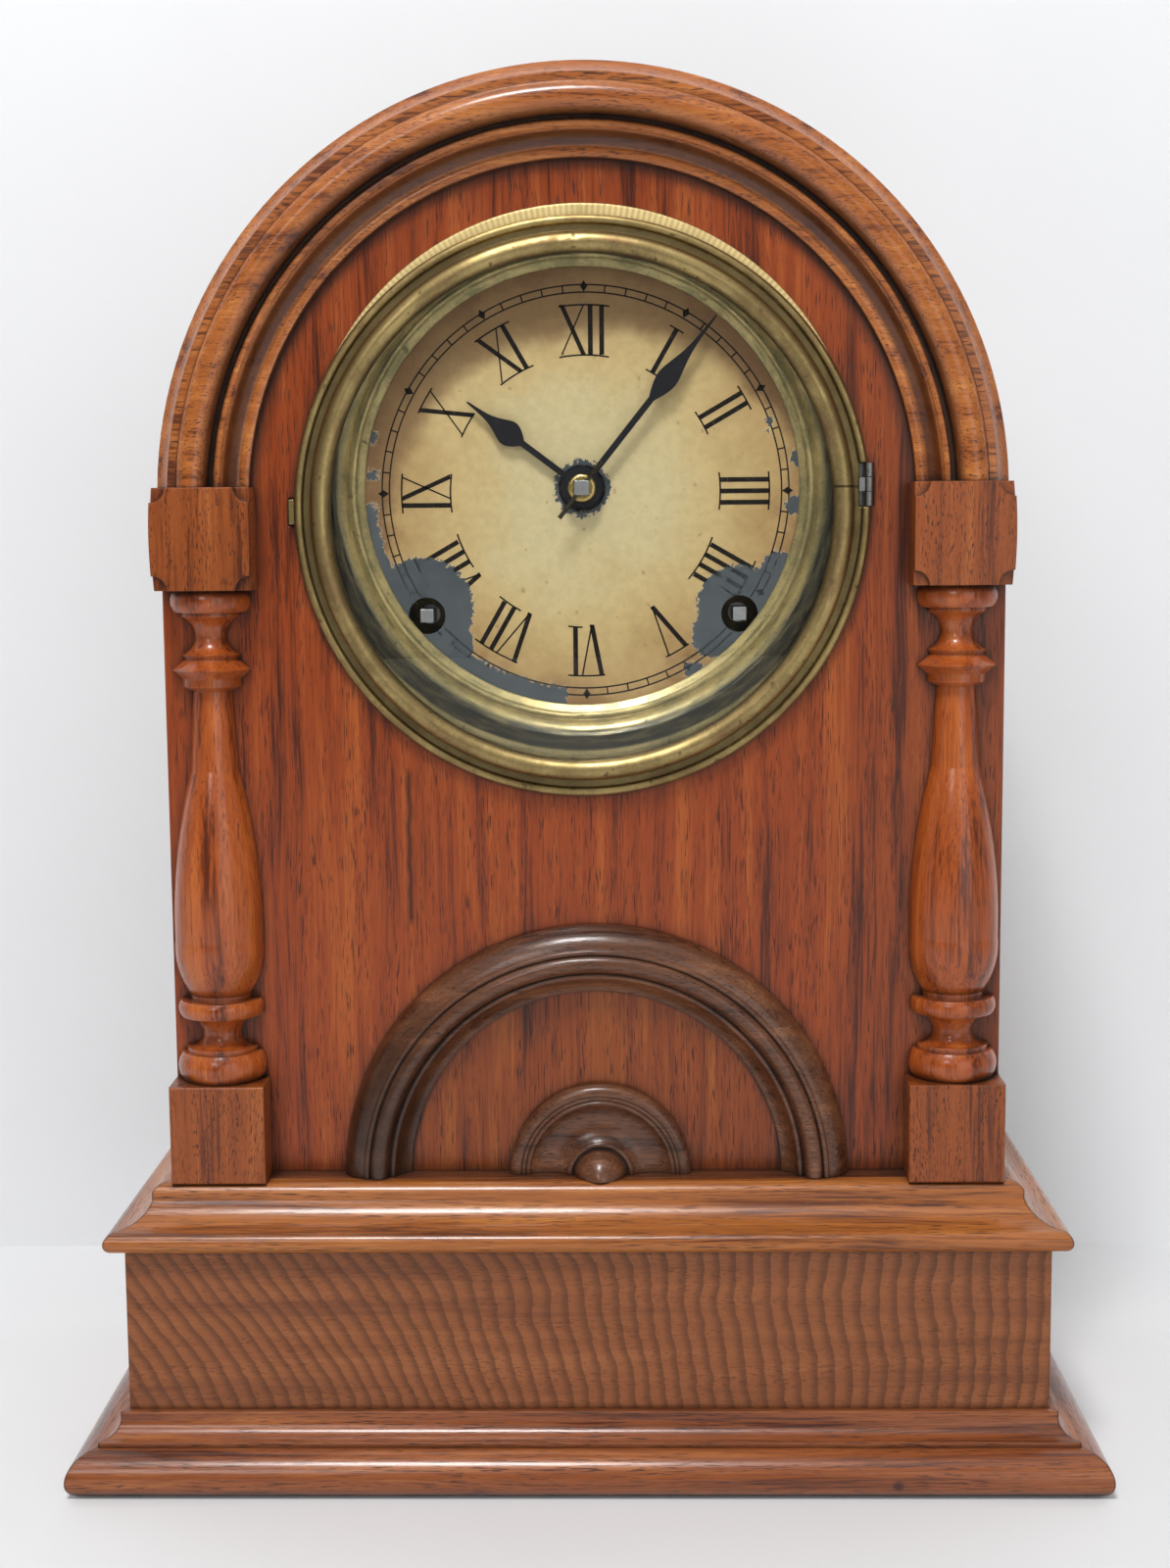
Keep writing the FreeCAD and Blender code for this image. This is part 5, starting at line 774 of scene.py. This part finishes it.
def inkArc(bm, angle, width, out, thick, steps=8):
    # a short line along the ring, turned about the middle of the dial; a whole turn closes on itself
    half = min(math.degrees(width / 2 / out), 180.0)
    edges = []
    corners = [(out - thick / 2, 0.0), (out + thick / 2, 0.0), (out + thick / 2, 1.0), (out - thick / 2, 1.0)]
    verts = [bm.verts.new(dialPoint(angle - half, 0.0, far) + Vector((0.0, -inkLayer["thick"] * up, 0.0)))
             for far, up in corners]
    for first, second in zip(verts, verts[1:] + verts[:1]):
        edges.append(bm.edges.new((first, second)))
    whole = half > 179.9
    shape = edges if whole else edges + [bm.faces.new(verts)]
    bmesh.ops.spin(bm, geom=verts + shape, cent=printCentre, axis=(0.0, 1.0, 0.0),
                   dvec=(0.0, 0.0, 0.0), angle=math.radians(2 * half), steps=steps, use_merge=whole)


numeralLook = {"foot": 40.8, "head": 55.6, "point": 40.0, "thick": 1.45, "thin": 0.5, "serif": 0.5,
               "widths": {"I": 3.4, "V": 6.6, "X": 7.2}, "overhang": 1.0, "inset": 0.3,
               "hours": ("XII", "I", "II", "III", "IIII", "V", "VI", "VII", "VIII", "IX", "X", "XI")}


def makeNumerals(look):
    bm = bmesh.new()
    foot, head, thick, thin = look["foot"], look["head"], look["thick"], look["thin"]
    for hour, letters in enumerate(look["hours"]):
        angle = hour * 30.0
        width = sum(look["widths"][letter] for letter in letters)
        left = -width / 2
        for letter in letters:
            wide = look["widths"][letter]
            middle = left + wide / 2
            reach = wide / 2 - look["inset"]
            if letter == "I":
                inkStroke(bm, angle, (middle, foot), (middle, head), thick)
                inkArc(bm, angle + math.degrees(middle / foot), wide + look["overhang"], foot, look["serif"], 3)
            elif letter == "V":
                inkStroke(bm, angle, (middle, look["point"]), (middle - reach, head), thick)
                inkStroke(bm, angle, (middle, look["point"]), (middle + reach, head), thin)
            else:
                inkStroke(bm, angle, (middle + reach, foot), (middle - reach, head), thick)
                inkStroke(bm, angle, (middle - reach, foot), (middle + reach, head), thin)
                inkArc(bm, angle + math.degrees(middle / foot), wide + look["overhang"], foot, look["serif"], 4)
            left += wide
        inkArc(bm, angle, width + 2 * look["overhang"] - 2 * look["inset"], head, look["serif"], 8)
    return addPiece("hourNumerals", bm, ink, "case")


makeNumerals(numeralLook)

trackLook = {"inner": 59.3, "outer": 61.5, "line": 0.45, "tick": 0.45, "diamond": (3.4, 2.2), "diamondAt": 61.1}


def makeTrack(look):
    bm = bmesh.new()
    for radius in (look["inner"], look["outer"]):
        inkArc(bm, 0.0, 2 * math.pi * radius, radius, look["line"], 180)
    for minute in range(60):
        angle = minute * 6.0
        if minute % 5:
            inkStroke(bm, angle, (0.0, look["inner"]), (0.0, look["outer"]), look["tick"])
            continue
        tall, wide = look["diamond"]
        middle = dialPoint(angle, 0.0, look["diamondAt"])
        front = Vector((0.0, -inkLayer["thick"], 0.0))
        rise = (dialPoint(angle, 0.0, tall) - dialPoint(angle, 0.0, 0.0)) / 2
        side = (dialPoint(angle, wide, 0.0) - dialPoint(angle, 0.0, 0.0)) / 2
        place = Matrix((rise + side, rise - side, front)).transposed().to_4x4()
        place.translation = middle + front / 2
        bmesh.ops.create_cube(bm, size=1.0, matrix=place)
    return addPiece("minuteTrack", bm, ink, "case")


makeTrack(trackLook)
print("dial printed")


screwLook = {"radius": 2.1, "rise": 0.7, "slot": 0.5, "across": (55.5, 75.5), "leafHalf": 6.0, "between": 190.0,
             "turns": (12.0, 64.0, -35.0, 80.0, 25.0, -60.0, 48.0, -8.0)}
bradLook = {"radius": 1.5, "rise": 0.45, "face": 72.0, "arch": 115.5,
            "angles": (20.0, 45.0, 70.0, 90.0, 110.0, 135.0, 160.0), "sides": (106.0, 150.0, 195.0, 240.0, 285.0),
            "low": 97.0, "lowAcross": (-78.0, -28.0, 28.0, 78.0)}
fastenerLook = dict(steelLook, bright=(0.2, 0.19, 0.18), dull=(0.1, 0.085, 0.07), seed=9.3, shadeAndDirt=0.5)
fastenerSteel = metalFinish("fastenerSteel", fastenerLook)


def headMesh(look):
    # a low dome turned about its own axis; two pairs of cuts let the middle strip sink to a slot
    radius, rise = look["radius"] * mm, look["rise"] * mm
    bm = bmesh.new()
    dome = ((1.0, 0.0), (1.0, 0.4), (0.7, 0.85), (0.35, 0.97), (0.0, 1.0))
    outline = [bm.verts.new((radius * out, 0.0, rise * up)) for out, up in dome]
    edges = [bm.edges.new(pair) for pair in zip(outline, outline[1:])]
    bmesh.ops.spin(bm, geom=outline + edges, cent=(0.0, 0.0, 0.0), axis=(0.0, 0.0, 1.0), dvec=(0.0, 0.0, 0.0),
                   angle=2 * math.pi, steps=20, use_merge=True)
    bmesh.ops.remove_doubles(bm, verts=bm.verts, dist=1e-7)
    if "slot" in look:
        half = look["slot"] * mm / 2
        for across in (-half * 1.15, -half, half, half * 1.15):
            whole = bm.verts[:] + bm.edges[:] + bm.faces[:]
            bmesh.ops.bisect_plane(bm, geom=whole, dist=1e-8, plane_co=(across, 0.0, 0.0), plane_no=(1.0, 0.0, 0.0))
        for vert in bm.verts:
            if abs(vert.co.x) < half * 1.05:
                vert.co.z = min(vert.co.z, rise * 0.3)
    bmesh.ops.holes_fill(bm, edges=[edge for edge in bm.edges if edge.is_boundary])
    mesh = bpy.data.meshes.new("head")
    bm.to_mesh(mesh)
    bm.free()
    return mesh


def makeHeads(name, look, places, body):
    # heads on the back of the clock; each place is across, depth, height in metres and a turn in degrees
    head = headMesh(look)
    bm = bmesh.new()
    for across, depth, high, turn in places:
        count = len(bm.verts)
        bm.from_mesh(head)
        bm.verts.ensure_lookup_table()
        place = Matrix.Translation((across, depth, high)) @ Matrix.Rotation(math.radians(-90.0), 4, "X")
        bmesh.ops.transform(bm, matrix=place @ Matrix.Rotation(math.radians(turn), 4, "Z"), verts=bm.verts[count:])
    bpy.data.meshes.remove(head)
    return addPiece(name, bm, fastenerSteel, body)


def leafPlaces(name, across, turns):
    # two screws on each of the two leaves, on the face that the leaf shows to the back
    halfWidth, between = screwLook["leafHalf"] * mm, screwLook["between"] * mm
    spots = [vert.co for vert in cadNodes[name].data.vertices if abs(vert.co.x - across) < halfWidth]
    face = max(spot.y for spot in spots)
    heights = []
    for upper in (False, True):
        group = [spot.z for spot in spots if (spot.z > between) == upper]
        reach = (max(group) - min(group)) * 0.25
        heights += [min(group) + reach, max(group) - reach]
    return [(across, face, high, turn) for high, turn in zip(heights, turns)]


def bradSpots(look):
    # up both sides, over the arch and along the lower edge of the back board
    face, reach = look["face"] * mm, look["arch"] * mm
    spots = [(side * reach, face, high * mm, 0.0) for side in (-1, 1) for high in look["sides"]]
    for angle in look["angles"]:
        turn = math.radians(angle)
        spots.append((reach * math.cos(turn), face, archCentre.z + reach * math.sin(turn), 0.0))
    return spots + [(across * mm, face, look["low"] * mm, 0.0) for across in look["lowAcross"]]


doorTurns, caseTurns = screwLook["turns"][:4], screwLook["turns"][4:]
doorAcross, caseAcross = inMetres(screwLook["across"])
makeHeads("doorHingeScrews", screwLook, leafPlaces("back_hinge_moving", doorAcross, doorTurns), "door")
makeHeads("caseHingeScrews", screwLook, leafPlaces("back_fixed_hardware", caseAcross, caseTurns), "case")
makeHeads("backBrads", bradLook, bradSpots(bradLook), "case")
print("back fastened")


# stage, light and camera

stageLook = {"floor": (0.81, 0.818, 0.828), "wall": (0.835, 0.845, 0.862), "wallAt": 0.156, "wallSink": 0.001,
             "floorDrop": 0.0001, "reach": 4.0}


def stageFinish(name, colour, rough):
    material, tree, shader = newMaterial(name)
    place = objectPlace(tree)
    tone = remap(tree, noise(tree, stretch(tree, place, 6.0), 3.0), 0.3, 0.7, 0.985, 1.015)
    wire(tree, shader["Base Color"], mixColour(tree, 1.0, colour, join(tree, tone, tone, tone), "MULTIPLY"))
    shader["Roughness"].default_value = rough
    shader["Specular IOR Level"].default_value = 0.25
    return material, tree


def makeStage(look):
    reach = look["reach"]
    floorMaterial, tree = stageFinish("floorPaper", look["floor"], 0.5)
    wallMaterial, tree = stageFinish("wallPaper", look["wall"], 0.8)
    # seen from behind, the wall lets the view through
    seeThrough(tree, addNode(tree, "ShaderNodeNewGeometry").outputs["Backfacing"])
    upright = Matrix.Rotation(math.radians(90.0), 4, "X")
    wallPlace = Matrix.Translation((0.0, look["wallAt"], reach - look["wallSink"])) @ upright
    places = {"floor": (floorMaterial, Matrix.Translation((0.0, 0.0, -look["floorDrop"]))),
              "wall": (wallMaterial, wallPlace)}
    for name, (material, place) in places.items():
        bm = bmesh.new()
        bmesh.ops.create_grid(bm, x_segments=1, y_segments=1, size=reach, matrix=place)
        mesh = bpy.data.meshes.new(name)
        bm.to_mesh(mesh)
        bm.free()
        mesh.materials.append(material)
        piece = bpy.data.objects.new(name, mesh)
        bpy.context.collection.objects.link(piece)


makeStage(stageLook)

lightLook = {"world": 0.22, "seen": 0.86, "room": 0.05, "sides": 0.5,
             "lamps": {"key": ((-0.55, -1.8, 1.1), 5.2, 0.5), "overhead": ((-0.2, -0.95, 1.75), 24.0, 0.4),
                       "fill": ((0.95, -1.9, 0.6), 8.0, 1.3)}, "aim": (0.0, 0.0, 0.2)}


def makeLight(look):
    world = bpy.data.worlds.new("studio")
    bpy.context.scene.world = world
    world.use_nodes = True
    tree = world.node_tree
    path = addNode(tree, "ShaderNodeLightPath").outputs
    seen = calc(tree, "MAXIMUM", path["Is Camera Ray"], path["Is Transmission Ray"])
    shade = tree.nodes["Background"].inputs
    shade["Color"].default_value = (0.98, 0.99, 1.0, 1.0)
    # polish and brass mirror the pale studio, with a dim room in front of the clock
    x, y, z = split(tree, addNode(tree, "ShaderNodeTexCoord").outputs["Generated"])
    front = remap(tree, y, -0.85, 0.1, look["room"], look["sides"])
    above = remap(tree, z, 0.45, 0.9, 0.0, look["seen"])
    mirrored = calc(tree, "MAXIMUM", front, above)
    strength = calc(tree, "MULTIPLY_ADD", seen, look["seen"] - look["world"], look["world"])
    gain = calc(tree, "MULTIPLY", calc(tree, "SUBTRACT", mirrored, strength), path["Is Glossy Ray"])
    wire(tree, shade["Strength"], calc(tree, "ADD", strength, gain))
    for name, (place, power, size) in look["lamps"].items():
        lamp = bpy.data.lights.new(name, "AREA")
        lamp.energy = power
        lamp.size = size
        holder = bpy.data.objects.new(name, lamp)
        bpy.context.collection.objects.link(holder)
        aim = Vector(look["aim"]) - Vector(place)
        holder.matrix_world = Matrix.Translation(place) @ aim.to_track_quat("-Z", "Y").to_matrix().to_4x4()


makeLight(lightLook)

cameraLook = {"focalPixels": 2211.0, "framePixels": 1194.0, "place": (0.0125, -0.6912, 0.2911), "turn": 1.07,
              "pitch": -6.96, "roll": 0.47, "sensor": 36.0}


def makeCamera(look):
    camera = bpy.data.cameras.new("camera")
    camera.sensor_fit = "HORIZONTAL"
    camera.sensor_width = look["sensor"]
    camera.lens = look["sensor"] * look["focalPixels"] / look["framePixels"]
    holder = bpy.data.objects.new("camera", camera)
    bpy.context.collection.objects.link(holder)
    turn = Matrix.Identity(4)
    for degrees, axis in ((look["turn"], "Z"), (look["pitch"], "X"), (look["roll"], "Y"), (90.0, "X")):
        turn = turn @ Matrix.Rotation(math.radians(degrees), 4, axis)
    holder.matrix_world = Matrix.Translation(look["place"]) @ turn
    bpy.context.scene.camera = holder


makeCamera(cameraLook)
bpy.context.scene.view_settings.view_transform = "Standard"
print("stage, light and camera set")
